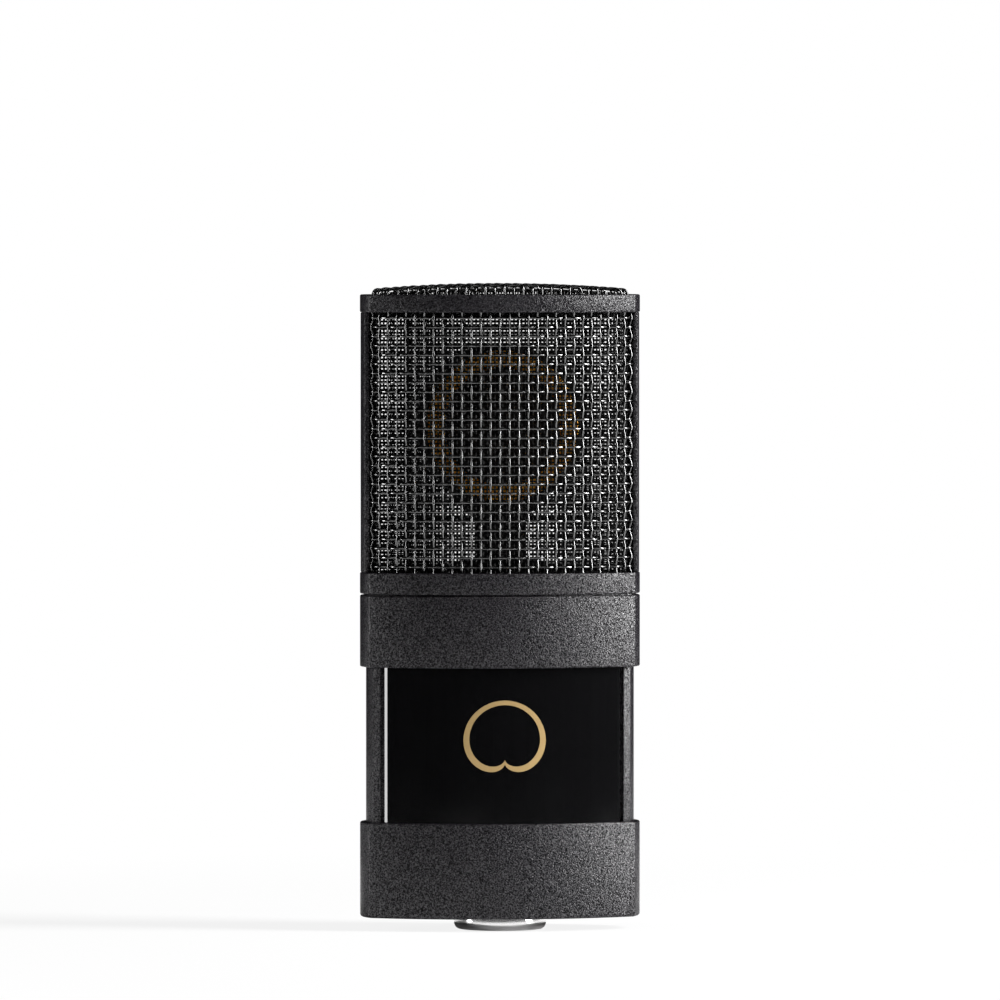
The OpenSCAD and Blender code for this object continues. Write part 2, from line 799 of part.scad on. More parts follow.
module xlr_nut() {
  color("#8e8e90") difference() {
    translate([0, 0, z_floor]) cylinder(h = nut_h, d = nut_d);
    translate([0, 0, z_floor - CUT]) cylinder(h = nut_h + 2 * CUT, d = barrel_d + 2 * fit);
    for (turn = [0, 90]) rotate(turn) translate([0, 0, z_floor + nut_h])
      cube([2 * nut_d, 2.4, 2], center = true);
  }
}

module at_pins() {
  for (angle = PIN_ANGLES) rotate(angle) translate([pin_circle_r, 0, 0]) children();
}

module xlr_insert() {
  color("#161616") difference() {
    translate([0, 0, socket_depth]) cylinder(h = insert_t, d = socket_d - 2 * fit);
    at_pins() translate([0, 0, socket_depth - CUT])
      cylinder(h = insert_t + 2 * CUT, d = pin_d + 2 * fit, $fn = SMALL);
    translate([pin_circle_r + pin_d, 0, lock_z]) rotate([0, 90, 0])
      cylinder(h = barrel_d, d = hole_d, $fn = SMALL);
  }
}

module xlr_lock_screw() {
  color("#8c8c90") translate([barrel_d / 2, 0, lock_z]) rotate([0, 90, 0]) difference() {
    translate([0, 0, pin_circle_r + pin_d + fit - barrel_d / 2])
      cylinder(h = barrel_d / 2 - pin_circle_r - pin_d - 2 * fit, d = screw_d, $fn = SMALL);
    cube([2 * screw_d, slot_w, 2 * slot_t], center = true);
  }
}

module contact_pins() {
  color("#c8ccd0") at_pins() difference() {
    union() {
      translate([0, 0, pin_tip_z + pin_d / 2])
        cylinder(h = cup_top_z - pin_tip_z - pin_d / 2, d = pin_d, $fn = SMALL);
      translate([0, 0, pin_tip_z + pin_d / 2]) sphere(d = pin_d, $fn = SMALL);
    }
    translate([0, 0, cup_top_z - cup_bore_h])
      cylinder(h = cup_bore_h + CUT, d = cup_bore_d, $fn = SMALL);
  }
}

head_base_ring();
head_post_left();
head_post_right();
top_ring();
front_outer_grille();
rear_outer_grille();
top_outer_grille();
front_inner_grille();
rear_inner_grille();
top_inner_grille();
capsule_housing();
capsule_backplate();
diaphragm_spacer();
front_diaphragm();
front_clamp_ring();
clamp_ring_screws();
rear_plate();
rear_retaining_ring();
capsule_cradle();
cradle_screw();
isolation_pad();
stem_screws();
capsule_deck();
head_screws();
capsule_lead();
upper_collar();
waist_shell();
lower_collar();
front_panel();
rear_panel();
pattern_mark();
chassis_rails();
rail_screws();
base_screws();
circuit_board();
board_screws();
film_capacitors();
electrolytic_capacitors();
resistors();
transistors();
gate_resistor();
lead_terminals();
output_leads();
xlr_barrel();
xlr_nut();
xlr_insert();
xlr_lock_screw();
contact_pins();
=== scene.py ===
# %% [markdown]
# # A side-address condenser microphone
#
# The microphone's body is a flat bottle of cast and extruded metal: two collars, a waist with a
# polished panel let into each face, and a head whose windows are closed with woven wire. A large
# round capsule stands inside the head, behind two layers of mesh. This lesson dresses the packed
# model, which already holds every piece at its real size and place, with the shapes and finishes
# that the eye meets: soft edges, wire that really is woven, and paint with a grain.

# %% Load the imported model
import math

import bmesh
import bpy
from mathutils import Matrix, Vector


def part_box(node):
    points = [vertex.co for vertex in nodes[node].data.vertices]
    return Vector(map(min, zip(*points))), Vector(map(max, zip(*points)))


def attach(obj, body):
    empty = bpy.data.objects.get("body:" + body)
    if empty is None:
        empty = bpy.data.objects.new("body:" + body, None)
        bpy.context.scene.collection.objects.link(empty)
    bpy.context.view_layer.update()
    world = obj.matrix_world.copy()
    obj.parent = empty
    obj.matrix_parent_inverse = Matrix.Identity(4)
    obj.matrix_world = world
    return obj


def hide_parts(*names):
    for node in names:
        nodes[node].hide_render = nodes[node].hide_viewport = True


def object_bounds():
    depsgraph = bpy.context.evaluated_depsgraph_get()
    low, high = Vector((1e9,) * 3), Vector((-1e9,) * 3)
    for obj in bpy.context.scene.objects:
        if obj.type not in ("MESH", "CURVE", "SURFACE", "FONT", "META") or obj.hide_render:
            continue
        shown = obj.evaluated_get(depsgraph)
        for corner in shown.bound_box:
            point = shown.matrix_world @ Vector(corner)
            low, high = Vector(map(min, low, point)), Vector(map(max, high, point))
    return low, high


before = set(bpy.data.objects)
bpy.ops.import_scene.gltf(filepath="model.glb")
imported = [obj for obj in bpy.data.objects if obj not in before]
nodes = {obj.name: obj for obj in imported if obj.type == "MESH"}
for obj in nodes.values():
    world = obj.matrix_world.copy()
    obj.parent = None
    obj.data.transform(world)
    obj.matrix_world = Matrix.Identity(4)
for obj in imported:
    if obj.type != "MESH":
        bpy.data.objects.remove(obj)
cad_low, cad_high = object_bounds()
MM = 0.001
print(f"{len(nodes)} pieces, {(cad_high.z - cad_low.z) / MM:.0f} mm tall")

# %% [markdown]
# ## The camera
#
# A long lens from well away keeps upright lines upright, as product pictures do. The camera stands
# a little to the microphone's left and a little above its middle, so the left side face and the
# dome on top just show.

# %% Camera
CAMERA_DISTANCE = 2.37
CAMERA_TURN = math.radians(5)  # round to the microphone's left
CAMERA_HEIGHT = 0.163
AIM_HEIGHT = 0.0963
TAKEN_IN = 0.2245  # width of what the picture takes in at the microphone

camera_data = bpy.data.cameras.new("camera")
camera_data.lens = camera_data.sensor_width * CAMERA_DISTANCE / TAKEN_IN
camera_data.clip_start, camera_data.clip_end = 0.1, 20
camera = bpy.data.objects.new("camera", camera_data)
camera.location = (
    -CAMERA_DISTANCE * math.sin(CAMERA_TURN),
    -CAMERA_DISTANCE * math.cos(CAMERA_TURN),
    CAMERA_HEIGHT,
)
sight = Vector((0, 0, AIM_HEIGHT)) - camera.location
camera.rotation_euler = sight.to_track_quat("-Z", "Y").to_euler()
bpy.context.scene.collection.objects.link(camera)
bpy.context.scene.camera = camera
bpy.context.scene.view_settings.view_transform = "Standard"
print(f"lens {camera_data.lens:.0f} mm")

# %% [markdown]
# ## One helper for nodes, one for colours
#
# Materials and geometry trees are both made of nodes. One small function adds a node, sets what it
# is told and joins what it is given, so that a tree reads from top to bottom like a recipe. Colours
# are written as they look on a screen and turned to the linear light that the renderer counts in.


# %% Nodes and colours
def add(tree, kind, inputs=None, **settings):
    """Adds a node. An input is a value, or another node's output to join to it."""
    node = tree.nodes.new(kind)
    for name, value in settings.items():
        setattr(node, name, value)
    for name, value in (inputs or {}).items():
        if isinstance(value, bpy.types.NodeSocket):
            tree.links.new(value, node.inputs[name])
        else:
            node.inputs[name].default_value = value
    return node


def linear(colour):
    """A screen colour such as #2b2a2c as linear red, green, blue and a full alpha."""
    parts = [int(colour[k : k + 2], 16) / 255 for k in (1, 3, 5)]
    return (*(c / 12.92 if c <= 0.04045 else ((c + 0.055) / 1.055) ** 2.4 for c in parts), 1)


# %% [markdown]
# ## The studio
#
# Black paint and black wire are drawn by what they reflect. The room is therefore white behind and
# above, so that edges catch light, and dark in front, so that the polished panel stays black. The
# dark walls are a real curved screen that the camera looks through. The floor is a pale table that
# ends a short way in front of the microphone.

# %% World, floor and dark walls
AMBIENT = 0.12  # what the white room gives to matt surfaces
FLOOR_GLOW = 0.86  # share of the floor's white that doesn't depend on the lamps
FADE_FROM = 0.08
FADE_TO = 0.3
FLOOR_R = 0.36
FLOOR_STEPS = 96
WALL_RADIUS = 3.2
WALL_BOTTOM = -3.0
WALL_TOP = 20.0
WALL_STEPS = 48


def seen_directly(tree):
    """1 for rays from the eye, from a mirror or through glass, and 0 for the rest."""
    path = add(tree, "ShaderNodeLightPath")
    shiny = add(
        tree,
        "ShaderNodeMath",
        {0: path.outputs["Is Glossy Ray"], 1: path.outputs["Is Transmission Ray"]},
        operation="MAXIMUM",
    )
    either = add(
        tree,
        "ShaderNodeMath",
        {0: path.outputs["Is Camera Ray"], 1: shiny.outputs[0]},
        operation="MAXIMUM",
    )
    return either.outputs[0]


def white_room():
    world = bpy.data.worlds.new("white_room")
    world.use_nodes = True
    tree = world.node_tree
    tree.nodes.clear()
    strength = add(
        tree,
        "ShaderNodeMath",
        {0: seen_directly(tree), 1: 1 - AMBIENT, 2: AMBIENT},
        operation="MULTIPLY_ADD",
    )
    glow = add(tree, "ShaderNodeBackground", {"Strength": strength.outputs[0]})
    glow.inputs["Color"].default_value = linear("#ffffff")
    add(tree, "ShaderNodeOutputWorld", {"Surface": glow.outputs[0]})
    return world


def pale_floor():
    material = bpy.data.materials.new("pale_floor")
    material.use_nodes = True
    tree = material.node_tree
    tree.nodes.clear()
    place = add(tree, "ShaderNodeTexCoord").outputs["Object"]
    away = add(tree, "ShaderNodeVectorMath", {0: place}, operation="LENGTH")
    glow_share = add(
        tree,
        "ShaderNodeMapRange",
        {
            "Value": away.outputs["Value"],
            "From Min": FADE_FROM,
            "From Max": FADE_TO,
            "To Min": FLOOR_GLOW,
            "To Max": 1.0,
        },
        interpolation_type="SMOOTHSTEP",
    )
    path = add(tree, "ShaderNodeLightPath")
    share = add(
        tree,
        "ShaderNodeMath",
        {0: path.outputs["Is Camera Ray"], 1: glow_share.outputs["Result"]},
        operation="MULTIPLY",
    )
    matt = add(tree, "ShaderNodeBsdfDiffuse", {"Color": linear("#fafafa")})
    glow = add(tree, "ShaderNodeEmission", {"Color": linear("#ffffff"), "Strength": 1.0})
    mixed = add(
        tree, "ShaderNodeMixShader", {0: share.outputs[0], 1: matt.outputs[0], 2: glow.outputs[0]}
    )
    add(tree, "ShaderNodeOutputMaterial", {"Surface": mixed.outputs[0]})
    return material


def dark_cloth():
    material = bpy.data.materials.new("dark_cloth")
    material.use_nodes = True
    shader = material.node_tree.nodes["Principled BSDF"]
    shader.inputs["Base Color"].default_value = linear("#141414")
    shader.inputs["Roughness"].default_value = 1.0
    return material


def stage_piece(name, points, faces, material):
    mesh = bpy.data.meshes.new(name)
    mesh.from_pydata(points, [], faces)
    mesh.materials.append(material)
    obj = bpy.data.objects.new(name, mesh)
    bpy.context.scene.collection.objects.link(obj)
    return obj


bpy.context.scene.world = white_room()
turns = [2 * math.pi * k / FLOOR_STEPS for k in range(FLOOR_STEPS)]
floor_rim = [(FLOOR_R * math.cos(t), FLOOR_R * math.sin(t), cad_low.z) for t in turns]
stage_piece("floor", floor_rim, [tuple(range(FLOOR_STEPS))], pale_floor())

wall_points = []
for k in range(WALL_STEPS + 1):
    turn = 2 * math.pi * k / WALL_STEPS
    for z in (WALL_BOTTOM, WALL_TOP):
        wall_points.append((WALL_RADIUS * math.sin(turn), -WALL_RADIUS * math.cos(turn), z))
wall_faces = [(2 * k, 2 * k + 2, 2 * k + 3, 2 * k + 1) for k in range(WALL_STEPS)]
walls = stage_piece("dark_walls", wall_points, wall_faces, dark_cloth())
walls.visible_camera = False
print("the room is up")

# %% [markdown]
# ## Lamps
#
# A tall softbox stands far round to the right. Its light slides along the curved front, so the
# paint is brightest at the right edge and falls away smoothly to the left. A narrow one behind the
# left shoulder draws the crease there. A faint one from above keeps the mesh readable.


# %% Softboxes
def softbox(name, turn, rise, distance, width, height, brightness):
    """A rectangle of light aimed at the head. Turn 0 is in front and positive is to the right."""
    lamp = bpy.data.lights.new(name, "AREA")
    lamp.shape = "RECTANGLE"
    lamp.size, lamp.size_y = width, height
    lamp.energy = brightness * math.pi * width * height
    obj = bpy.data.objects.new(name, lamp)
    turn, rise = math.radians(turn), math.radians(rise)
    out = Vector((math.sin(turn) * math.cos(rise), -math.cos(turn) * math.cos(rise), math.sin(rise)))
    target = Vector((0, 0, cad_high.z / 2))
    obj.location = target + out * distance
    obj.rotation_euler = out.to_track_quat("Z", "Y").to_euler()
    bpy.context.scene.collection.objects.link(obj)


softbox("key_right", turn=74, rise=14, distance=1.4, width=0.34, height=1.2, brightness=34)
softbox("key_high", turn=74, rise=40, distance=0.8, width=0.2, height=0.26, brightness=22)
softbox("rim_left", turn=-88, rise=4, distance=1.3, width=0.26, height=1.1, brightness=14)
softbox("overhead", turn=8, rise=62, distance=1.4, width=1.0, height=0.05, brightness=2.5)
softbox("front_fill", turn=-12, rise=28, distance=1.5, width=0.4, height=0.4, brightness=2.4)

# %% [markdown]
# ## The body's outline
#
# Every shell of the body shares one plan: two wide shallow arcs for the faces and two narrow ones
# for the sides, which meet at four creases. Setting the plan in by some amount keeps the same
# centres and takes that amount off each radius. A small rounding at the creases is what makes them
# catch light, because no cast edge is perfectly sharp.

# %% Outline
SIDE_W = 12 * MM
SIDE_BULGE = 1.6 * MM
CREASE_ROUND = 0.7 * MM
SHARPEST = 0.05 * MM

collar_low, collar_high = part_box("lower_collar")
BODY_W = collar_high.x - collar_low.x
BODY_D = collar_high.y - collar_low.y
crease_x = BODY_W / 2 - SIDE_BULGE
face_sag = (BODY_D - SIDE_W) / 2
face_r = (crease_x**2 + face_sag**2) / (2 * face_sag)
face_y = face_r - BODY_D / 2
side_r = ((SIDE_W / 2) ** 2 + SIDE_BULGE**2) / (2 * SIDE_BULGE)
side_x = BODY_W / 2 - side_r
FACE_HUB = Vector((0, -face_y))
SIDE_HUB = Vector((side_x, 0))


def crease_at(inset):
    """Where the face arc and the side arc meet, in the quarter with positive x and y."""
    face, side = face_r - inset, side_r - inset
    apart = math.hypot(side_x, face_y)
    along = (face**2 - side**2 + apart**2) / (2 * apart)
    off = math.sqrt(face**2 - along**2)
    x = (along * side_x + off * face_y) / apart
    y = (along * face_y - off * side_x) / apart - face_y
    return Vector((x, y))


def arc(hub, radius, start, end, steps):
    """Points on an arc, without the first one."""
    turns = [start + (end - start) * k / steps for k in range(1, steps + 1)]
    return [hub + radius * Vector((math.cos(t), math.sin(t))) for t in turns]


def outline(inset, round_by=None):
    """Points round the body, set in by an amount, anticlockwise from the middle of the right side."""
    radius = max(CREASE_ROUND - inset, SHARPEST) if round_by is None else round_by
    hub = crease_at(inset + radius)
    side_end = math.atan2(hub.y, hub.x - side_x)
    face_start = math.atan2(hub.y + face_y, hub.x)
    quarter = [Vector((side_x + side_r - inset, 0))]
    quarter += arc(SIDE_HUB, side_r - inset, 0, side_end, 8)
    quarter += arc(hub, radius, side_end, face_start, 5)
    quarter += arc(FACE_HUB, face_r - inset, face_start, math.pi / 2, 20)
    loop = list(quarter)
    loop += [Vector((-p.x, p.y)) for p in reversed(quarter[:-1])]
    loop += [Vector((-p.x, -p.y)) for p in quarter[1:]]
    loop += [Vector((p.x, -p.y)) for p in reversed(quarter[1:-1])]
    return loop


print(f"creases at {crease_x / MM:.1f} mm, face radius {face_r / MM:.1f} mm")

# %% [markdown]
# ## Lofting a shell
#
# A shell is one closed profile, inset against height, carried round the outline. The profile's
# corners have radii, because a milled or cast edge is always broken a little, and that thin bright
# line along an edge is much of what makes metal look real. Each profile point becomes a ring, and
# neighbouring rings are joined by quads.


# %% Lofts, prisms and pieces
def rounded(corners, steps=4):
    """A closed right-angled profile of (inset, height, radius) with its corners rounded."""
    points = []
    for k, (inset, z, radius) in enumerate(corners):
        here = Vector((inset, z))
        if radius == 0:
            points.append(here)
            continue
        before = Vector(corners[k - 1][:2])
        after = Vector(corners[(k + 1) % len(corners)][:2])
        start = here + radius * (before - here).normalized()
        end = here + radius * (after - here).normalized()
        hub = start + end - here
        for s in range(steps + 1):
            turn = math.pi / 2 * s / steps
            points.append(hub + (start - hub) * math.cos(turn) + (end - hub) * math.sin(turn))
    return points


def at_height(points, z):
    return [Vector((p.x, p.y, z)) for p in points]


def rings_of(corners):
    return [at_height(outline(inset), z) for inset, z in rounded(corners)]


def loft(rings):
    """A closed mesh through rings of points, with the last ring joined to the first."""
    bm = bmesh.new()
    rows = [[bm.verts.new(p) for p in ring] for ring in rings]
    for row, above in zip(rows, rows[1:] + rows[:1]):
        for i in range(len(row)):
            j = (i + 1) % len(row)
            bm.faces.new((row[i], row[j], above[j], above[i]))
    bmesh.ops.recalc_face_normals(bm, faces=bm.faces)
    return bm


def prism(bm, polygon, low, high):
    """Adds an upright block with that plan to a mesh."""
    base = bm.faces.new([bm.verts.new(p) for p in at_height(polygon, low)])
    raised = bmesh.ops.extrude_face_region(bm, geom=[base])
    lifted = [v for v in raised["geom"] if isinstance(v, bmesh.types.BMVert)]
    bmesh.ops.translate(bm, vec=(0, 0, high - low), verts=lifted)
    bmesh.ops.recalc_face_normals(bm, faces=bm.faces)


def new_object(name, bm):
    mesh = bpy.data.meshes.new(name)
    bm.to_mesh(mesh)
    bm.free()
    obj = bpy.data.objects.new(name, mesh)
    bpy.context.scene.collection.objects.link(obj)
    return obj


def settle(obj):
    """Turns an object's modifiers into plain mesh."""
    evaluated = obj.evaluated_get(bpy.context.evaluated_depsgraph_get())
    mesh = bpy.data.meshes.new_from_object(evaluated)
    obj.modifiers.clear()
    obj.data = mesh
    return obj


def dress(obj, material, slot, *replaced, sharp=35):
    """Finishes a piece: its material, smooth shading with sharp edges, body and CAD nodes. The slot is not
    used.
    """
    obj.data.materials.clear()
    obj.data.materials.append(material)
    obj.data.polygons.foreach_set("use_smooth", [True] * len(obj.data.polygons))
    obj.data.set_sharp_from_angle(angle=math.radians(sharp))
    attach(obj, "root")
    if replaced:
        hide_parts(*replaced)
    print(f"{obj.name}: {len(obj.data.polygons)} faces")
    return obj


# %% [markdown]
# ## Materials: a common start
#
# Each material is one Principled surface. Its patterns read Object coordinates, which are metres
# here, so a pattern's scale is one over the real size of its grain. What is the same all over is
# set on the shader's own sockets.


# %% Material helper
def surface(name, colour, roughness, **sockets):
    """A new material, with its tree, its shader and the coordinates for its patterns."""
    material = bpy.data.materials.new(name)
    material.use_nodes = True
    tree = material.node_tree
    shader = tree.nodes["Principled BSDF"]
    shader.inputs["Base Color"].default_value = linear(colour)
    shader.inputs["Roughness"].default_value = roughness
    for socket, value in sockets.items():
        shader.inputs[socket.replace("_", " ")].default_value = value
    place = add(tree, "ShaderNodeTexCoord").outputs["Object"]
    return material, tree, shader, place


# %% [markdown]
# ## Textured paint
#
# The shells are powder coated: dry paint is sprayed on with a charge and baked, and this kind
# shrinks into a fine wrinkle. Two sizes of noise make it, one for the grain of about half a
# millimetre and one for a slow change of gloss. The bump does most of the work, and the colour
# follows it as painted shade: the hollows are painted darker, close to black.

# %% Textured paint
PAINT_GRAIN = 0.34 * MM
PAINT_RELIEF = 0.15 * MM
PAINT_PATCH = 9 * MM


def textured_paint():
    material, tree, shader, place = surface("textured_paint", "#2c2a2c", 0.42)
    grain = add(
        tree,
        "ShaderNodeTexNoise",
        {"Vector": place, "Scale": 1 / PAINT_GRAIN, "Detail": 3.0, "Roughness": 0.55, "Distortion": 0.6},
    )
    patches = add(
        tree, "ShaderNodeTexNoise", {"Vector": place, "Scale": 1 / PAINT_PATCH, "Detail": 2.0}
    )
    # Painted shade: the colour runs from near black in the grain's hollows up to the paint's own tone on its
    # high points.
    tone = add(tree, "ShaderNodeValToRGB", {"Fac": grain.outputs["Fac"]})
    tone.color_ramp.elements[0].position = 0.34
    tone.color_ramp.elements[0].color = linear("#040404")
    tone.color_ramp.elements[1].position = 0.72
    tone.color_ramp.elements[1].color = linear("#27242a")
    tree.links.new(tone.outputs["Color"], shader.inputs["Base Color"])
    shine = add(
        tree,
        "ShaderNodeMapRange",
        {"Value": grain.outputs["Fac"], "From Min": 0.42, "From Max": 0.68, "To Min": 0.08, "To Max": 1.2},
    )
    tree.links.new(shine.outputs["Result"], shader.inputs["Specular IOR Level"])
    gloss = add(
        tree,
        "ShaderNodeMapRange",
        {"Value": patches.outputs["Fac"], "From Min": 0.3, "From Max": 0.7, "To Min": 0.28, "To Max": 0.36},
    )
    tree.links.new(gloss.outputs["Result"], shader.inputs["Roughness"])
    bump = add(
        tree,
        "ShaderNodeBump",
        {"Height": grain.outputs["Fac"], "Distance": PAINT_RELIEF, "Strength": 1.0},
    )
    tree.links.new(bump.outputs["Normal"], shader.inputs["Normal"])
    return material


PAINT = textured_paint()

# %% [markdown]
# ## Collars
#
# The lower collar is a cup with a floor, through which the connector and two screws pass. The upper
# one is open below and has a web across its top. Both are lofts of one profile. The connector's
# bore is the last pair of rings, drawn as circles with as many points as the outline has.

# %% Collars
EDGE_ROUND = 0.35 * MM
FOOT_ROUND = 0.7 * MM
COLLAR_WALL = 1.3 * MM
MEMBER_T = 2.5 * MM  # the floor of the lower collar and the web of the upper one
PLATE_RING = 5 * MM
WEB_OPENING = Vector((14 * MM, 7.5 * MM))
BARREL_BORE_R = 9.15 * MM
SINK_R = 1.85 * MM
SINK_DEPTH = 1.0 * MM


def circle_like(points, radius):
    """A circle with one point in the direction of each given point."""
    return [radius * p.normalized() for p in points]


def box_like(points, half):
    """A rectangle with one point in the direction of each given point."""
    return [p / max(abs(p.x) / half.x, abs(p.y) / half.y) for p in points]


def drill(obj, holes):
    """Cuts upright round holes, each (x, y, lowest z, highest z, radius)."""
    bm = bmesh.new()
    for x, y, low, high, radius in holes:
        place = Matrix.Translation((x, y, (low + high) / 2))
        bmesh.ops.create_cone(
            bm, cap_ends=True, segments=48, radius1=radius, radius2=radius, depth=high - low, matrix=place
        )
    cutter = new_object("cutter", bm)
    cut = obj.modifiers.new("cut", "BOOLEAN")
    cut.object = cutter
    cut.solver = "EXACT"
    settle(obj)
    bpy.data.objects.remove(cutter)
    return obj


def lower_collar():
    low, high = collar_low.z, collar_high.z
    floor = low + MEMBER_T
    rings = rings_of(
        [
            (PLATE_RING, low, 0),
            (0, low, FOOT_ROUND),
            (0, high, EDGE_ROUND),
            (COLLAR_WALL, high, SHARPEST),
            (COLLAR_WALL, floor, 0),
            (PLATE_RING, floor, 0),
        ]
    )
    plan = outline(PLATE_RING)
    rings.append(at_height(circle_like(plan, BARREL_BORE_R), floor))
    rings.append(at_height(circle_like(plan, BARREL_BORE_R), low))
    obj = new_object("bottom_collar", loft(rings))
    screws_low, screws_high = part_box("base_screws")
    screw_x = screws_high.x - SINK_R
    sinks = [
        (side * screw_x, 0, low - SINK_DEPTH, low + SINK_DEPTH + SHARPEST, SINK_R) for side in (-1, 1)
    ]
    return dress(drill(obj, sinks), PAINT, "textured_paint", "lower_collar")


def upper_collar():
    low, high = (corner.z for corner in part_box("upper_collar"))
    web = high - MEMBER_T
    rings = rings_of(
        [
            (PLATE_RING, high, 0),
            (0, high, EDGE_ROUND),
            (0, low, EDGE_ROUND),
            (COLLAR_WALL, low, SHARPEST),
            (COLLAR_WALL, web, 0),
            (PLATE_RING, web, 0),
        ]
    )
    plan = outline(PLATE_RING)
    rings.append(at_height(box_like(plan, WEB_OPENING), web))
    rings.append(at_height(box_like(plan, WEB_OPENING), high))
    obj = new_object("top_collar", loft(rings))
    return dress(obj, PAINT, "textured_paint", "upper_collar")


lower_collar()
upper_collar()

# %% [markdown]
# ## Head rings and posts
#
# The grille's frame is a deep ring below, a shallower one above and a post at each side. The lower
# ring stands on a thin spigot, set in from its face, and that makes the dark seam above the collar.
# The posts are blocks with a rib behind, which keeps the front and rear mesh apart.

# %% Head rings and posts
RING_WALL = 1.15 * MM
SPIGOT_INSET = 0.9 * MM
SEAM = 0.3 * MM
FLANGE_T = 1.6 * MM
FLANGE_IN = 6.5 * MM
LIP_T = 1.5 * MM
POST_RECESS = 0.15 * MM
POST_W = 7.8 * MM
RIB_W = 2.4 * MM
POST_EDGE = 0.25 * MM
FIT = 0.05 * MM
DOME_INSET = 2.3 * MM

ring_low, ring_high = (corner.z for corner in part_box("head_base_ring"))
cap_low, cap_high = (corner.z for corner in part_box("top_ring"))


def head_base_ring():
    step = ring_low + SEAM
    flange = step + FLANGE_T
    rings = rings_of(
        [
            (FLANGE_IN, ring_low, 0),
            (SPIGOT_INSET, ring_low, 0),
            (SPIGOT_INSET, step, 0),
            (0, step, EDGE_ROUND),
            (0, ring_high, EDGE_ROUND),
            (RING_WALL, ring_high, SHARPEST),
            (RING_WALL, flange, 0),
            (FLANGE_IN, flange, 0),
        ]
    )
    return dress(new_object("head_ring", loft(rings)), PAINT, "textured_paint", "head_base_ring")


def top_ring():
    lip = cap_high - LIP_T
    rings = rings_of(
        [
            (0, cap_low, EDGE_ROUND),
            (0, cap_high, EDGE_ROUND),
            (DOME_INSET - FIT, cap_high, SHARPEST),
            (DOME_INSET - FIT, lip, 0),
            (RING_WALL, lip, 0),
            (RING_WALL, cap_low, SHARPEST),
        ]
    )
    return dress(new_object("cap_ring", loft(rings)), PAINT, "textured_paint", "top_ring")


def side_arc(inset, half_w, steps=8):
    """Points of the right-hand side face from back to front, set in by an amount."""
    radius = side_r - inset
    reach = math.asin(half_w / radius)
    return [SIDE_HUB + radius * Vector((1, 0))] if steps == 0 else [
        SIDE_HUB + radius * Vector((math.cos(t), math.sin(t)))
        for t in (reach * (1 - 2 * k / steps) for k in range(steps + 1))
    ]


def head_post(name, side, node):
    rib_in = inner_inset + INNER_LAYER + FIT
    plan = side_arc(POST_RECESS, POST_W / 2)
    plan += list(reversed(side_arc(RING_WALL, POST_W / 2)[5:]))
    plan += side_arc(rib_in, RIB_W / 2)[::-1]
    plan += list(reversed(side_arc(RING_WALL, POST_W / 2)[:4]))
    bm = bmesh.new()
    prism(bm, [Vector((side * p.x, p.y)) for p in plan], ring_high, cap_low)
    rib = side_arc(RING_WALL + FIT, RIB_W / 2) + side_arc(rib_in, RIB_W / 2)[::-1]
    low, high = (corner.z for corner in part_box(node))
    for bottom, top in ((low, ring_high), (cap_low, high)):
        prism(bm, [Vector((side * p.x, p.y)) for p in rib], bottom, top)
    obj = new_object(name, bm)
    edge = obj.modifiers.new("edge", "BEVEL")
    edge.width, edge.segments, edge.limit_method = POST_EDGE, 2, "ANGLE"
    edge.angle_limit = math.radians(50)
    return dress(settle(obj), PAINT, "textured_paint", node)


COARSE_WIRE = 0.5 * MM
FINE_WIRE = 0.36 * MM
LAYER_GAP = 0.1 * MM
OUTER_LAYER = 2 * COARSE_WIRE
INNER_LAYER = 2 * FINE_WIRE
outer_inset = RING_WALL + FIT
inner_inset = outer_inset + OUTER_LAYER + LAYER_GAP

head_base_ring()
top_ring()
head_post("side_post_left", -1, "head_post_left")
head_post("side_post_right", 1, "head_post_right")

# %% [markdown]
# ## Waist
#
# The waist is one extruded shell between the collars. Each face has a shallow recess for its panel,
# a little wider than the panel, so that a dark groove shows at each side. Its plan is an outline
# whose face arcs step in at the recess. The ring inside it has as many points, so that the two can
# be joined at the ends.

# %% Waist shell
WAIST_WALL = 2 * MM
PANEL_T = 1 * MM
GROOVE = 0.8 * MM
WAIST_EDGE = 0.15 * MM

waist_low, waist_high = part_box("waist_shell")
panel_low, panel_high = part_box("front_panel")
waist_inset = BODY_W / 2 - waist_high.x
panel_inset = BODY_D / 2 + panel_low.y
recess_half = panel_high.x + GROOVE
recess_inset = panel_inset + PANEL_T + FIT


def face_at(x, inset):
    """How far the face arc stands from the middle at x."""
    return math.sqrt((face_r - inset) ** 2 - x**2) - face_y


def waist_plan():
    """The waist's outer outline, with a recess in each face."""
    plain = outline(waist_inset)
    quarter = [p for p in plain[: len(plain) // 4 + 1] if p.x > recess_half]
    quarter += [
        Vector((recess_half, face_at(recess_half, waist_inset))),
        Vector((recess_half, face_at(recess_half, recess_inset))),
    ]
    steps = 16
    across = [recess_half * (1 - k / steps) for k in range(1, steps + 1)]
    quarter += [Vector((x, face_at(x, recess_inset))) for x in across]
    loop = list(quarter)
    loop += [Vector((-p.x, p.y)) for p in reversed(quarter[:-1])]
    loop += [Vector((-p.x, -p.y)) for p in quarter[1:]]
    loop += [Vector((p.x, -p.y)) for p in reversed(quarter[1:-1])]
    return loop


def shrunk(plan, inset):
    """For each point of a plan, a point on the outline that is set in by an amount."""
    limit = crease_at(inset)
    points = []
    for p in plan:
        if abs(p.y) <= abs(p.x) * limit.y / limit.x:
            out = (Vector((abs(p.x), abs(p.y))) - SIDE_HUB).normalized()
            q = SIDE_HUB + (side_r - inset) * out
        else:
            out = (Vector((abs(p.x), abs(p.y))) - FACE_HUB).normalized()
            q = FACE_HUB + (face_r - inset) * out
        points.append(Vector((math.copysign(q.x, p.x), math.copysign(q.y, p.y))))
    return points


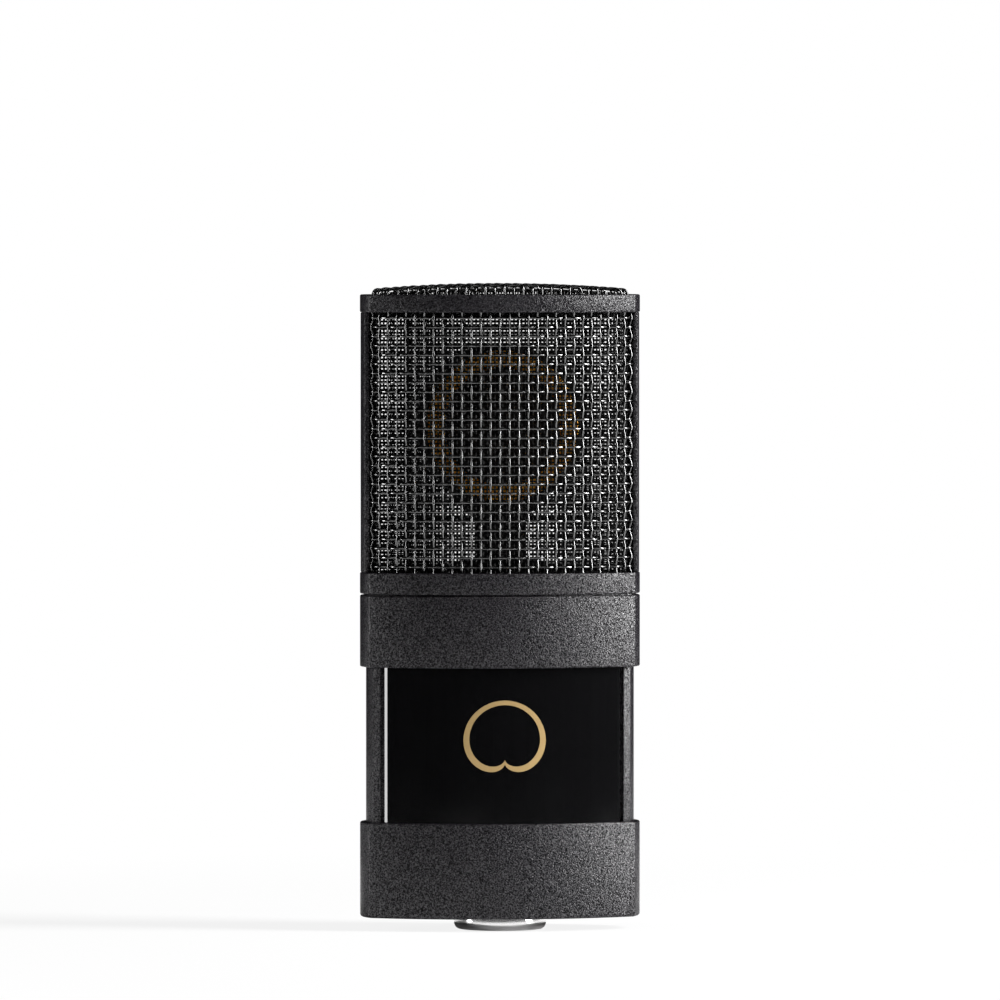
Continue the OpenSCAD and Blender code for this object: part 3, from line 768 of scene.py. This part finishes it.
def waist_shell():
    plan = waist_plan()
    inner = shrunk(plan, waist_inset + WAIST_WALL)
    rings = [
        at_height(plan, waist_low.z),
        at_height(plan, waist_high.z),
        at_height(inner, waist_high.z),
        at_height(inner, waist_low.z),
    ]
    obj = new_object("waist", loft(rings))
    edge = obj.modifiers.new("edge", "BEVEL")
    edge.width, edge.segments, edge.limit_method = WAIST_EDGE, 2, "ANGLE"
    edge.angle_limit = math.radians(60)
    return dress(settle(obj), PAINT, "textured_paint", "waist_shell")


waist_shell()

# %% [markdown]
# ## Polished panels
#
# Each panel is black acrylic, cut, bent to the face and polished, with a flat chamfer along its
# edges. The chamfer faces another way than the panel, so it mirrors the bright room as a thin line.
# The surface itself is nearly a mirror, with only the faintest waviness.

# %% Panels
CHAMFER_W = 0.55 * MM
CHAMFER_DEPTH = 0.25 * MM
PANEL_EDGE = 0.08 * MM
PANEL_STEPS = 40


def black_acrylic():
    material, tree, shader, place = surface("black_acrylic", "#0b0b0c", 0.06, IOR=1.49)
    haze = add(tree, "ShaderNodeTexNoise", {"Vector": place, "Scale": 1 / (14 * MM), "Detail": 3.0})
    rough = add(
        tree,
        "ShaderNodeMapRange",
        {"Value": haze.outputs["Fac"], "From Min": 0.3, "From Max": 0.7, "To Min": 0.045, "To Max": 0.085},
    )
    tree.links.new(rough.outputs["Result"], shader.inputs["Roughness"])
    return material


ACRYLIC = black_acrylic()


def panel(name, side, node):
    """A bent panel on the front (-1) or back (1) face."""
    half = panel_high.x
    xs = [(half - CHAMFER_W) * (2 * k / PANEL_STEPS - 1) for k in range(PANEL_STEPS + 1)]
    plan = [Vector((x, side * face_at(x, panel_inset))) for x in xs]
    for depth in (CHAMFER_DEPTH, PANEL_T):
        plan.append(Vector((half, side * face_at(half, panel_inset + depth))))
    plan += [Vector((x, side * face_at(x, panel_inset + PANEL_T))) for x in reversed(xs)]
    for depth in (PANEL_T, CHAMFER_DEPTH):
        plan.append(Vector((-half, side * face_at(half, panel_inset + depth))))
    bm = bmesh.new()
    prism(bm, plan, panel_low.z, panel_high.z)
    obj = new_object(name, bm)
    edge = obj.modifiers.new("edge", "BEVEL")
    edge.width, edge.segments, edge.limit_method = PANEL_EDGE, 2, "ANGLE"
    edge.angle_limit = math.radians(50)
    return dress(settle(obj), ACRYLIC, "gloss_panel", node, sharp=12)


panel("face_panel_front", -1, "front_panel")
panel("face_panel_rear", 1, "rear_panel")

# %% [markdown]
# ## Woven wire
#
# A plain weave has two sets of wires that pass over and under each other in turn. Each wire is a
# wave about the sheet's middle surface, and at every crossing the two sets stand on opposite sides,
# one wire radius out. So a guide line is enough for each wire, with two values at each point: which
# way is outwards, and the phase of the wave there. One geometry tree turns any set of guides into
# wire: it resamples them, pushes each point outwards by the cosine of its phase, and gives the line
# a round section.


# %% Weaving tree
def weaving_tree():
    tree = bpy.data.node_groups.new("weave_wire", "GeometryNodeTree")
    ends = tree.interface
    ends.new_socket("Guides", in_out="INPUT", socket_type="NodeSocketGeometry")
    for name, value in (("Wire", 0.5 * MM), ("Step", 0.35 * MM)):
        socket = ends.new_socket(name, in_out="INPUT", socket_type="NodeSocketFloat")
        socket.default_value = value
    sides = ends.new_socket("Sides", in_out="INPUT", socket_type="NodeSocketInt")
    sides.default_value = 6
    ends.new_socket("Finish", in_out="INPUT", socket_type="NodeSocketMaterial")
    ends.new_socket("Wires", in_out="OUTPUT", socket_type="NodeSocketGeometry")

    given = add(tree, "NodeGroupInput").outputs
    lines = add(tree, "GeometryNodeMeshToCurve", {"Mesh": given["Guides"]})
    even = add(
        tree,
        "GeometryNodeResampleCurve",
        {"Curve": lines.outputs["Curve"], "Length": given["Step"]},
        mode="LENGTH",
    )
    outwards = add(tree, "GeometryNodeInputNamedAttribute", {"Name": "outwards"}, data_type="FLOAT_VECTOR")
    phase = add(tree, "GeometryNodeInputNamedAttribute", {"Name": "phase"}, data_type="FLOAT")
    wave = add(tree, "ShaderNodeMath", {0: phase.outputs["Attribute"]}, operation="COSINE")
    radius = add(tree, "ShaderNodeMath", {0: given["Wire"], 1: 0.5}, operation="MULTIPLY")
    height = add(tree, "ShaderNodeMath", {0: wave.outputs[0], 1: radius.outputs[0]}, operation="MULTIPLY")
    push = add(
        tree,
        "ShaderNodeVectorMath",
        {0: outwards.outputs["Attribute"], "Scale": height.outputs[0]},
        operation="SCALE",
    )
    waved = add(
        tree, "GeometryNodeSetPosition", {"Geometry": even.outputs["Curve"], "Offset": push.outputs[0]}
    )
    section = add(
        tree,
        "GeometryNodeCurvePrimitiveCircle",
        {"Resolution": given["Sides"], "Radius": radius.outputs[0]},
    )
    tubes = add(
        tree,
        "GeometryNodeCurveToMesh",
        {"Curve": waved.outputs["Geometry"], "Profile Curve": section.outputs["Curve"], "Fill Caps": True},
    )
    whole = add(tree, "GeometryNodeRealizeInstances", {"Geometry": tubes.outputs["Mesh"]})
    painted = add(
        tree,
        "GeometryNodeSetMaterial",
        {"Geometry": whole.outputs["Geometry"], "Material": given["Finish"]},
    )
    add(tree, "NodeGroupOutput", {"Wires": painted.outputs["Geometry"]})
    return tree


WEAVE = weaving_tree()


def weave(name, guides, wire, step, sides, material, slot, node):
    """Makes wire along guides. A guide is a list of (point, outwards, phase)."""
    points, edges, outwards, phases = [], [], [], []
    for guide in guides:
        first = len(points)
        for point, out, phase in guide:
            points.append(point)
            outwards += out
            phases.append(phase)
        edges += [(k, k + 1) for k in range(first, len(points) - 1)]
    mesh = bpy.data.meshes.new(name)
    mesh.from_pydata(points, edges, [])
    mesh.attributes.new("outwards", "FLOAT_VECTOR", "POINT").data.foreach_set("vector", outwards)
    mesh.attributes.new("phase", "FLOAT", "POINT").data.foreach_set("value", phases)
    obj = bpy.data.objects.new(name, mesh)
    modifier = obj.modifiers.new("weave", "NODES")
    modifier.node_group = WEAVE
    values = {"Wire": wire, "Step": step, "Sides": sides, "Finish": material}
    for socket in WEAVE.interface.items_tree:
        if socket.in_out == "INPUT" and socket.name in values:
            modifier[socket.identifier] = values[socket.name]
    bpy.context.scene.collection.objects.link(obj)
    settle(obj)
    for leftover in ("outwards", "phase"):
        if leftover in obj.data.attributes:
            obj.data.attributes.remove(obj.data.attributes[leftover])
    return dress(obj, material, slot, node, sharp=80)


# %% [markdown]
# ## Lacquered wire
#
# The wire is drawn steel, woven and then dipped in black lacquer. The lacquer is glossy but not
# even: it pools at the crossings and thins on the high points. Noise along the wire breaks the
# highlights up in the same way.


# %% Lacquered wire
def lacquered_wire(name, colour, roughness, run, shine):
    material, tree, shader, place = surface(name, colour, roughness, Specular_IOR_Level=shine, IOR=1.8)
    pools = add(tree, "ShaderNodeTexNoise", {"Vector": place, "Scale": 1 / run, "Detail": 3.0})
    rough = add(
        tree,
        "ShaderNodeMapRange",
        {
            "Value": pools.outputs["Fac"],
            "From Min": 0.3,
            "From Max": 0.7,
            "To Min": roughness - 0.06,
            "To Max": roughness + 0.08,
        },
    )
    tree.links.new(rough.outputs["Result"], shader.inputs["Roughness"])
    bump = add(
        tree,
        "ShaderNodeBump",
        {"Height": pools.outputs["Fac"], "Distance": 0.03 * MM, "Strength": 0.6},
    )
    tree.links.new(bump.outputs["Normal"], shader.inputs["Normal"])
    return material


COARSE_BLACK = lacquered_wire("coarse_lacquered_wire", "#050505", 0.18, 0.5 * MM, 1.0)
FINE_BLACK = lacquered_wire("fine_lacquered_wire", "#030303", 0.32, 0.4 * MM, 0.35)

# %% [markdown]
# ## Front and rear grilles
#
# Each face has two sheets of mesh, a coarse strong one outside and a fine one behind it, bent round
# the creases to the side posts. The guides across follow the outline from post to post. The upright
# guides stand at even distances along the same path. Both sets count their crossings from the
# middle, so the over and under always agree.

# %% Front and rear grilles
COARSE_PITCH_ACROSS = 2.125 * MM
COARSE_PITCH_UP = 2.064 * MM
FIRST_ROW = 1.24 * MM  # from the cap ring's lower edge to the first wire across
FINE_PITCH = 0.85 * MM
REAR_STRETCH = 1.0094  # no two cuts of cloth have quite the same pitch
REAR_SHIFT = 0.385  # of a pitch, where the rear fine cloth happens to lie
CREASE_BEND = 1.2 * MM
TUCK = 1 * MM  # how far the mesh reaches behind the rings
SELVAGE = 1.0 * MM  # band of close wires along the fine mesh's upper edge


def face_path(inset, side):
    """The middle line of a sheet from one post to the other, as points from left to right."""
    reach = RIB_W / 2 + FIT
    loop = [p for p in outline(inset, CREASE_BEND) if p.y > reach / 2]
    radius = side_r - inset
    end = Vector((side_x + math.sqrt(radius**2 - reach**2), reach))
    path = [end] + [p for p in loop if p.y > reach * 1.05] + [Vector((-end.x, end.y))]
    path.reverse()
    return [Vector((p.x, side * p.y)) for p in path]


def stations(path, side):
    """For each point of a path: its distance from the path's middle, and which way is outwards."""
    reach = [0.0]
    for a, b in zip(path, path[1:]):
        reach.append(reach[-1] + (b - a).length)
    half = reach[-1] / 2
    result = []
    for k, point in enumerate(path):
        run = path[min(k + 1, len(path) - 1)] - path[max(k - 1, 0)]
        out = Vector((-run.y, run.x)).normalized() * side
        result.append((reach[k] - half, point, out))
    return result


def at_distance(marks, distance):
    """The point and the outward direction at a distance from a path's middle."""
    for (d0, p0, n0), (d1, p1, n1) in zip(marks, marks[1:]):
        if d0 <= distance <= d1:
            share = (distance - d0) / (d1 - d0)
            return p0.lerp(p1, share), n0.lerp(n1, share).normalized()
    raise ValueError("past the end of the path")


def face_weave(
    name, node, side, inset, wire, pitch_across, pitch_up, per_pitch, sides, material, slot, shift=0, selvage=()
):
    low, high = ring_high - TUCK, cap_low + TUCK
    marks = stations(face_path(inset + wire, side), side)
    columns = int((marks[-1][0] - wire) / pitch_across - 0.5 - shift)
    first = cap_low - FIRST_ROW
    rows = int((first - low) / pitch_up)
    guides = []
    for i in range(-columns - 1, columns + 1):
        point, out = at_distance(marks, (i + 0.5 + shift) * pitch_across)
        guides.append(
            [
                ((point.x, point.y, z), (out.x, out.y, 0), math.pi * ((first - z) / pitch_up + i))
                for z in (low, high)
            ]
        )
    heights = [first - j * pitch_up for j in range(rows + 1)]
    for j, z in enumerate(heights + list(selvage)):
        guides.append(
            [
                ((p.x, p.y, z), (out.x, out.y, 0), math.pi * (d / pitch_across - 0.5 - shift + j + 1))
                for d, p, out in marks
            ]
        )
    step = min(pitch_across, pitch_up) / per_pitch
    return weave(name, guides, wire, step, sides, material, slot, node)


for face, side in (("front", -1), ("rear", 1)):
    face_weave(
        f"coarse_mesh_{face}",
        f"{face}_outer_grille",
        side,
        outer_inset,
        COARSE_WIRE,
        COARSE_PITCH_ACROSS,
        COARSE_PITCH_UP,
        6,
        6,
        COARSE_BLACK,
        "coarse_wire",
    )
    face_weave(
        f"fine_mesh_{face}",
        f"{face}_inner_grille",
        side,
        inner_inset,
        FINE_WIRE,
        FINE_PITCH * (REAR_STRETCH if face == "rear" else 1),
        FINE_PITCH,
        2,
        4,
        FINE_BLACK,
        "fine_wire",
        shift=REAR_SHIFT if face == "rear" else 0,
        selvage=[cap_low - SELVAGE * k / 4 for k in range(5)],
    )

# %% [markdown]
# ## The domed top
#
# The top is closed by the same two meshes, pressed over a low arch with rolled edges. A wire that
# runs across climbs out of the ring, rolls over, follows the arch and goes down again, and a wire
# that runs front to back does the same on a straight line. The phases come from the wire's distance
# from the middle, so the two sets cross as they do on the faces.

# %% Domed top
DOME_ROLL = 1.1 * MM
DOME_FINE_PITCH = 0.62 * MM
DOME_EDGE_H = 1.3 * MM
ROLL_STEPS = 6
ARCH_STEPS = 24

dome_low, dome_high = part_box("top_outer_grille")
dome_half_w = BODY_W / 2 - DOME_INSET
arch_rise = dome_high.z - cap_high - DOME_EDGE_H
arch_r = (dome_half_w**2 + arch_rise**2) / (2 * arch_rise)


def arch_z(x, drop):
    """Height of the arch at x, set in by a drop."""
    return dome_high.z - arch_r + math.sqrt((arch_r - drop) ** 2 - x**2)


def plan_half_width(y, inset):
    """Half the outline's width at y."""
    widths = [math.sqrt(max((face_r - inset) ** 2 - (abs(y) + face_y) ** 2, 0))]
    if abs(y) < side_r - inset:
        widths.append(side_x + math.sqrt((side_r - inset) ** 2 - y**2))
    return min(widths)


def plan_half_depth(x, inset):
    """Half the outline's depth at x."""
    if abs(x) < crease_at(inset).x:
        return face_at(x, inset)
    return math.sqrt(max((side_r - inset) ** 2 - (abs(x) - side_x) ** 2, 0))


def rolled_line(half, top, base, roll):
    """A line over the dome as (distance along the ground, height, outward slope)."""
    roll = min(roll, half)
    right = []
    for k in range(ARCH_STEPS + 1):
        u = (half - roll) * k / ARCH_STEPS
        right.append((u, top(u), (0.0, 1.0)))
    for k in range(1, ROLL_STEPS + 1):
        turn = math.pi / 2 * k / ROLL_STEPS
        u = half - roll + roll * math.sin(turn)
        right.append((u, top(u) - roll * (1 - math.cos(turn)), (math.sin(turn), math.cos(turn))))
    right.append((half, base, (1.0, 0.0)))
    left = [(-u, z, (-out[0], out[1])) for u, z, out in reversed(right[1:])]
    return left + right


def dome_weave(name, node, inset, drop, wire, pitch, per_pitch, sides, material, slot):
    guides = []
    base = dome_low.z
    middle_inset, middle_drop = inset + wire, drop + wire
    rows = int(plan_half_depth(0, middle_inset) / pitch)
    columns = int(plan_half_width(0, middle_inset) / pitch)
    for j in range(-rows, rows + 1):
        y = j * pitch
        half = plan_half_width(y, middle_inset)
        edge = max(abs(y) - (plan_half_depth(0, middle_inset) - DOME_ROLL), 0)
        sunk = DOME_ROLL - math.sqrt(max(DOME_ROLL**2 - edge**2, 0))
        line = rolled_line(half, lambda u: arch_z(u, middle_drop) - sunk, base, DOME_ROLL - sunk)
        guides.append(
            [((u, y, z), (out[0], 0, out[1]), math.pi * (u / pitch + j)) for u, z, out in line if z >= base]
        )
    for i in range(-columns, columns + 1):
        x = i * pitch
        half = plan_half_depth(x, middle_inset)
        edge = max(abs(x) - (plan_half_width(0, middle_inset) - DOME_ROLL), 0)
        sunk = DOME_ROLL - math.sqrt(max(DOME_ROLL**2 - edge**2, 0))
        height = arch_z(x, middle_drop) - sunk
        line = rolled_line(half, lambda v: height, base, DOME_ROLL - sunk)
        guides.append(
            [((x, v, z), (0, out[0], out[1]), math.pi * (v / pitch + i + 1)) for v, z, out in line if z >= base]
        )
    guides = [guide for guide in guides if len(guide) > 2]
    return weave(name, guides, wire, pitch / per_pitch, sides, material, slot, node)


dome_weave(
    "coarse_mesh_top",
    "top_outer_grille",
    DOME_INSET,
    0,
    COARSE_WIRE,
    COARSE_PITCH_ACROSS,
    6,
    6,
    COARSE_BLACK,
    "coarse_wire",
)
dome_weave(
    "fine_mesh_top",
    "top_inner_grille",
    DOME_INSET + OUTER_LAYER + LAYER_GAP,
    OUTER_LAYER + LAYER_GAP,
    FINE_WIRE,
    DOME_FINE_PITCH,
    2,
    4,
    FINE_BLACK,
    "fine_wire",
)

# %% [markdown]
# ## The connector's shell
#
# The shell of the connector is turned brass with satin nickel plate. Only its foot shows: a short
# collar with a generously rounded edge, which mirrors the pale table as a soft crescent. It is a
# turned part, so it is a profile swept round an axis.

# %% Connector shell
NICKEL_MARKS = 0.12 * MM
SHELL_STEPS = 96


def satin_nickel():
    material, tree, shader, place = surface("satin_nickel", "#ecebeb", 0.14, Metallic=1.0)
    away = add(tree, "ShaderNodeVectorMath", {0: place, 1: (1, 1, 0)}, operation="MULTIPLY")
    radius = add(tree, "ShaderNodeVectorMath", {0: away.outputs[0]}, operation="LENGTH")
    marks = add(
        tree,
        "ShaderNodeTexNoise",
        {"W": radius.outputs["Value"], "Scale": 1 / NICKEL_MARKS, "Detail": 2.0},
        noise_dimensions="1D",
    )
    rough = add(
        tree,
        "ShaderNodeMapRange",
        {"Value": marks.outputs["Fac"], "From Min": 0.3, "From Max": 0.7, "To Min": 0.1, "To Max": 0.2},
    )
    tree.links.new(rough.outputs["Result"], shader.inputs["Roughness"])
    return material


NICKEL = satin_nickel()
shell_low, shell_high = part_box("xlr_barrel")
foot_r = shell_high.x + 0.12 * MM
SHELL_R = 9.1 * MM
LEAD_IN_R = 8.3 * MM
SOCKET_R = 8.05 * MM
LEAD_IN = 2.4 * MM
FOOT_TOP = 2.8 * MM


def connector_shell():
    """The barrel's profile as (radius, height), from the mouth round to the inside."""
    corner_r, corner_h = 1.2 * MM, 1.7 * MM
    profile = [(LEAD_IN_R + 0.1 * MM, shell_low.z)]
    for k in range(11):
        turn = math.pi / 2 * k / 10
        profile.append(
            (
                foot_r - corner_r + corner_r * math.sin(turn),
                shell_low.z + corner_h * (1 - math.cos(turn)),
            )
        )
    profile += [
        (foot_r - 0.08 * MM, FOOT_TOP - 0.1 * MM),
        (foot_r - 0.2 * MM, FOOT_TOP - FIT / 5),
        (SHELL_R, FOOT_TOP - FIT / 5),
        (SHELL_R, shell_high.z),
        (SOCKET_R, shell_high.z),
        (SOCKET_R, LEAD_IN),
        (LEAD_IN_R, LEAD_IN),
        (LEAD_IN_R, shell_low.z + 0.1 * MM),
    ]
    rings = []
    for radius, z in profile:
        turns = [2 * math.pi * k / SHELL_STEPS for k in range(SHELL_STEPS)]
        rings.append([Vector((radius * math.cos(t), radius * math.sin(t), z)) for t in turns])
    return dress(new_object("connector_shell", loft(rings)), NICKEL, "satin_nickel", "xlr_barrel", sharp=40)


connector_shell()

# %% [markdown]
# ## The sign
#
# A gold heart-shaped curve on the panel tells the pattern, the directions from which the microphone
# hears best. It is hot-stamped foil, so it is nearly flat and a little uneven.

# %% Metals and foil


def gold_foil():
    material, tree, shader, place = surface("gold_foil", "#c8aa74", 0.38, Metallic=0.55)
    press = add(tree, "ShaderNodeTexNoise", {"Vector": place, "Scale": 1 / (0.5 * MM), "Detail": 3.0})
    bump = add(tree, "ShaderNodeBump", {"Height": press.outputs["Fac"], "Distance": 0.02 * MM})
    tree.links.new(bump.outputs["Normal"], shader.inputs["Normal"])
    return material


def turned_brass():
    """Fine turning marks round the capsule's axis spread each highlight into a short streak."""
    material, tree, shader, place = surface("turned_brass", "#ffb950", 0.42, Metallic=1.0)
    low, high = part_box("front_clamp_ring")
    centre = (0, 0, (low.z + high.z) / 2)
    off = add(tree, "ShaderNodeVectorMath", {0: place, 1: centre}, operation="SUBTRACT")
    flat = add(tree, "ShaderNodeVectorMath", {0: off.outputs[0], 1: (1, 0, 1)}, operation="MULTIPLY")
    radius = add(tree, "ShaderNodeVectorMath", {0: flat.outputs[0]}, operation="LENGTH")
    marks = add(
        tree,
        "ShaderNodeTexNoise",
        {"W": radius.outputs["Value"], "Scale": 1 / (0.15 * MM), "Detail": 2.0},
        noise_dimensions="1D",
    )
    bump = add(tree, "ShaderNodeBump", {"Height": marks.outputs["Fac"], "Distance": 0.03 * MM})
    tree.links.new(bump.outputs["Normal"], shader.inputs["Normal"])
    return material


# %% [markdown]
# ## Everything else
#
# The remaining pieces are seen only through the mesh, or not at all, yet each has the finish that
# the real part would have. Most are one colour with a fine variation: of tone for moulded and
# printed surfaces, of relief for rubber and machined metal. One function gives that variation, and
# one short function names each real material.

# %% Finishes of the inner pieces


def mottled(name, colour, other, roughness, grain, relief=0.0, **sockets):
    """A surface whose tone drifts between two colours, with a relief of the same grain."""
    material, tree, shader, place = surface(name, colour, roughness, **sockets)
    noise = add(tree, "ShaderNodeTexNoise", {"Vector": place, "Scale": 1 / grain, "Detail": 3.0})
    tone = add(tree, "ShaderNodeMix", {"Factor": noise.outputs["Fac"]}, data_type="RGBA")
    tone.inputs["A"].default_value = linear(colour)
    tone.inputs["B"].default_value = linear(other)
    tree.links.new(tone.outputs["Result"], shader.inputs["Base Color"])
    if relief:
        bump = add(tree, "ShaderNodeBump", {"Height": noise.outputs["Fac"], "Distance": relief})
        tree.links.new(bump.outputs["Normal"], shader.inputs["Normal"])
    return material


def black_acetal():
    """Machined black plastic: dark, with the soft sheen of a waxy surface."""
    return mottled("black_acetal", "#0c0c0c", "#131313", 0.45, 1.5 * MM, 0.01 * MM)


def black_anodised():
    """Dyed oxide on aluminium: nearly black, and matt like fine paper."""
    return mottled("black_anodised", "#0d0d0e", "#161617", 0.55, 0.3 * MM, 0.01 * MM)


def gold_film():
    """Plastic film with a breath of gold on it: a dark mirror with a warm tint."""
    return mottled("gold_film", "#17100a", "#1f150c", 0.3, 6 * MM, 0.02 * MM)


def amber_film():
    """Polyimide washers: clear amber plastic, seen edge on."""
    return mottled("amber_film", "#c8a860", "#b48a3c", 0.35, 2 * MM)


def moulded_rubber():
    """Rubber has no gloss and a dusty look."""
    return mottled("moulded_rubber", "#1a1a1a", "#242424", 0.85, 0.4 * MM, 0.03 * MM)


def zinc_steel():
    """Screws plated with bright zinc, slightly clouded by handling."""
    return mottled("zinc_steel", "#9ea0a4", "#c2c4c8", 0.3, 0.8 * MM, 0.005 * MM, Metallic=1.0)


def black_oxide():
    """Oiled black oxide on steel: dark metal that still glints."""
    return mottled("black_oxide", "#232326", "#303034", 0.35, 0.8 * MM, 0.005 * MM, Metallic=1.0)


def machined_alloy():
    """Milled aluminium, with the faint waves a cutter leaves."""
    return mottled("machined_alloy", "#a8aaad", "#c4c6c9", 0.35, 0.5 * MM, 0.01 * MM, Metallic=1.0)


def glass_laminate():
    """Circuit board: green lacquer over woven glass, whose threads just show."""
    return mottled("glass_laminate", "#0f4a25", "#17602f", 0.35, 0.4 * MM, 0.01 * MM)


def red_box():
    """Film capacitors: a moulded red box with a satin face."""
    return mottled("red_box", "#a02c24", "#b53a2e", 0.4, 1 * MM, 0.01 * MM)


def blue_sleeve():
    """Electrolytic capacitors: a shrunk sleeve over a can, glossy and taut."""
    return mottled("blue_sleeve", "#232f72", "#2b3985", 0.25, 3 * MM, 0.02 * MM)


def blue_lacquer():
    """Resistors: a thick dip of pale blue lacquer on ceramic."""
    return mottled("blue_lacquer", "#7aa0b4", "#8cb2c4", 0.3, 1 * MM, 0.02 * MM)


def brown_glass():
    """The very large resistor at the capsule's gate: glazed and shiny."""
    return mottled("brown_glass", "#b9a070", "#a68a56", 0.15, 1.5 * MM)


def black_epoxy():
    """Transistor cases: moulded epoxy with a matt, sandy face."""
    return mottled("black_epoxy", "#101010", "#1c1c1c", 0.6, 0.25 * MM, 0.02 * MM)


def white_fluoropolymer():
    """Standoff terminals: milky plastic that feels like wax."""
    return mottled("white_fluoropolymer", "#e6e4dd", "#f0efe9", 0.4, 1.5 * MM)


def red_silicone():
    """The capsule's lead: soft silicone with a dull shine."""
    return mottled("red_silicone", "#a3262a", "#b53034", 0.5, 0.8 * MM, 0.01 * MM)


def tinned_strand():
    """Twisted tinned wire: the ridges of the lay run round it."""
    return mottled("tinned_strand", "#b4b4ae", "#d2d2cc", 0.35, 0.3 * MM, 0.04 * MM, Metallic=0.9)


def silver_plate():
    """Contact pins: soft white metal that tarnishes a shade warmer."""
    return mottled("silver_plate", "#cfcecb", "#e2e2e0", 0.22, 1 * MM, Metallic=1.0)


# %% [markdown]
# ## Giving each piece its finish
#
# The pieces that keep their imported shape take a material here.

# %% Finish of the imported pieces
BRASS, ACETAL, ANODISED, ZINC = turned_brass(), black_acetal(), black_anodised(), zinc_steel()
finishes = [
    (gold_foil(), ["pattern_mark"]),
    (BRASS, ["front_clamp_ring", "capsule_backplate", "clamp_ring_screws", "rear_plate"]),
    (ACETAL, ["capsule_housing", "rear_retaining_ring", "xlr_insert"]),
    (ANODISED, ["capsule_cradle", "capsule_deck"]),
    (gold_film(), ["front_diaphragm"]),
    (amber_film(), ["diaphragm_spacer"]),
    (moulded_rubber(), ["isolation_pad"]),
    (ZINC, ["cradle_screw", "stem_screws", "head_screws", "rail_screws", "board_screws", "xlr_lock_screw"]),
    (black_oxide(), ["base_screws"]),
    (machined_alloy(), ["chassis_rails"]),
    (glass_laminate(), ["circuit_board"]),
    (red_box(), ["film_capacitors"]),
    (blue_sleeve(), ["electrolytic_capacitors"]),
    (blue_lacquer(), ["resistors"]),
    (brown_glass(), ["gate_resistor"]),
    (black_epoxy(), ["transistors"]),
    (white_fluoropolymer(), ["lead_terminals"]),
    (red_silicone(), ["capsule_lead"]),
    (tinned_strand(), ["output_leads"]),
    (NICKEL, ["xlr_nut"]),
    (silver_plate(), ["contact_pins"]),
]
for material, names in finishes:
    for name in names:
        piece = nodes[name]
        piece.data.materials.clear()
        piece.data.materials.append(material)
print(f"{sum(len(names) for _, names in finishes)} packed pieces finished")
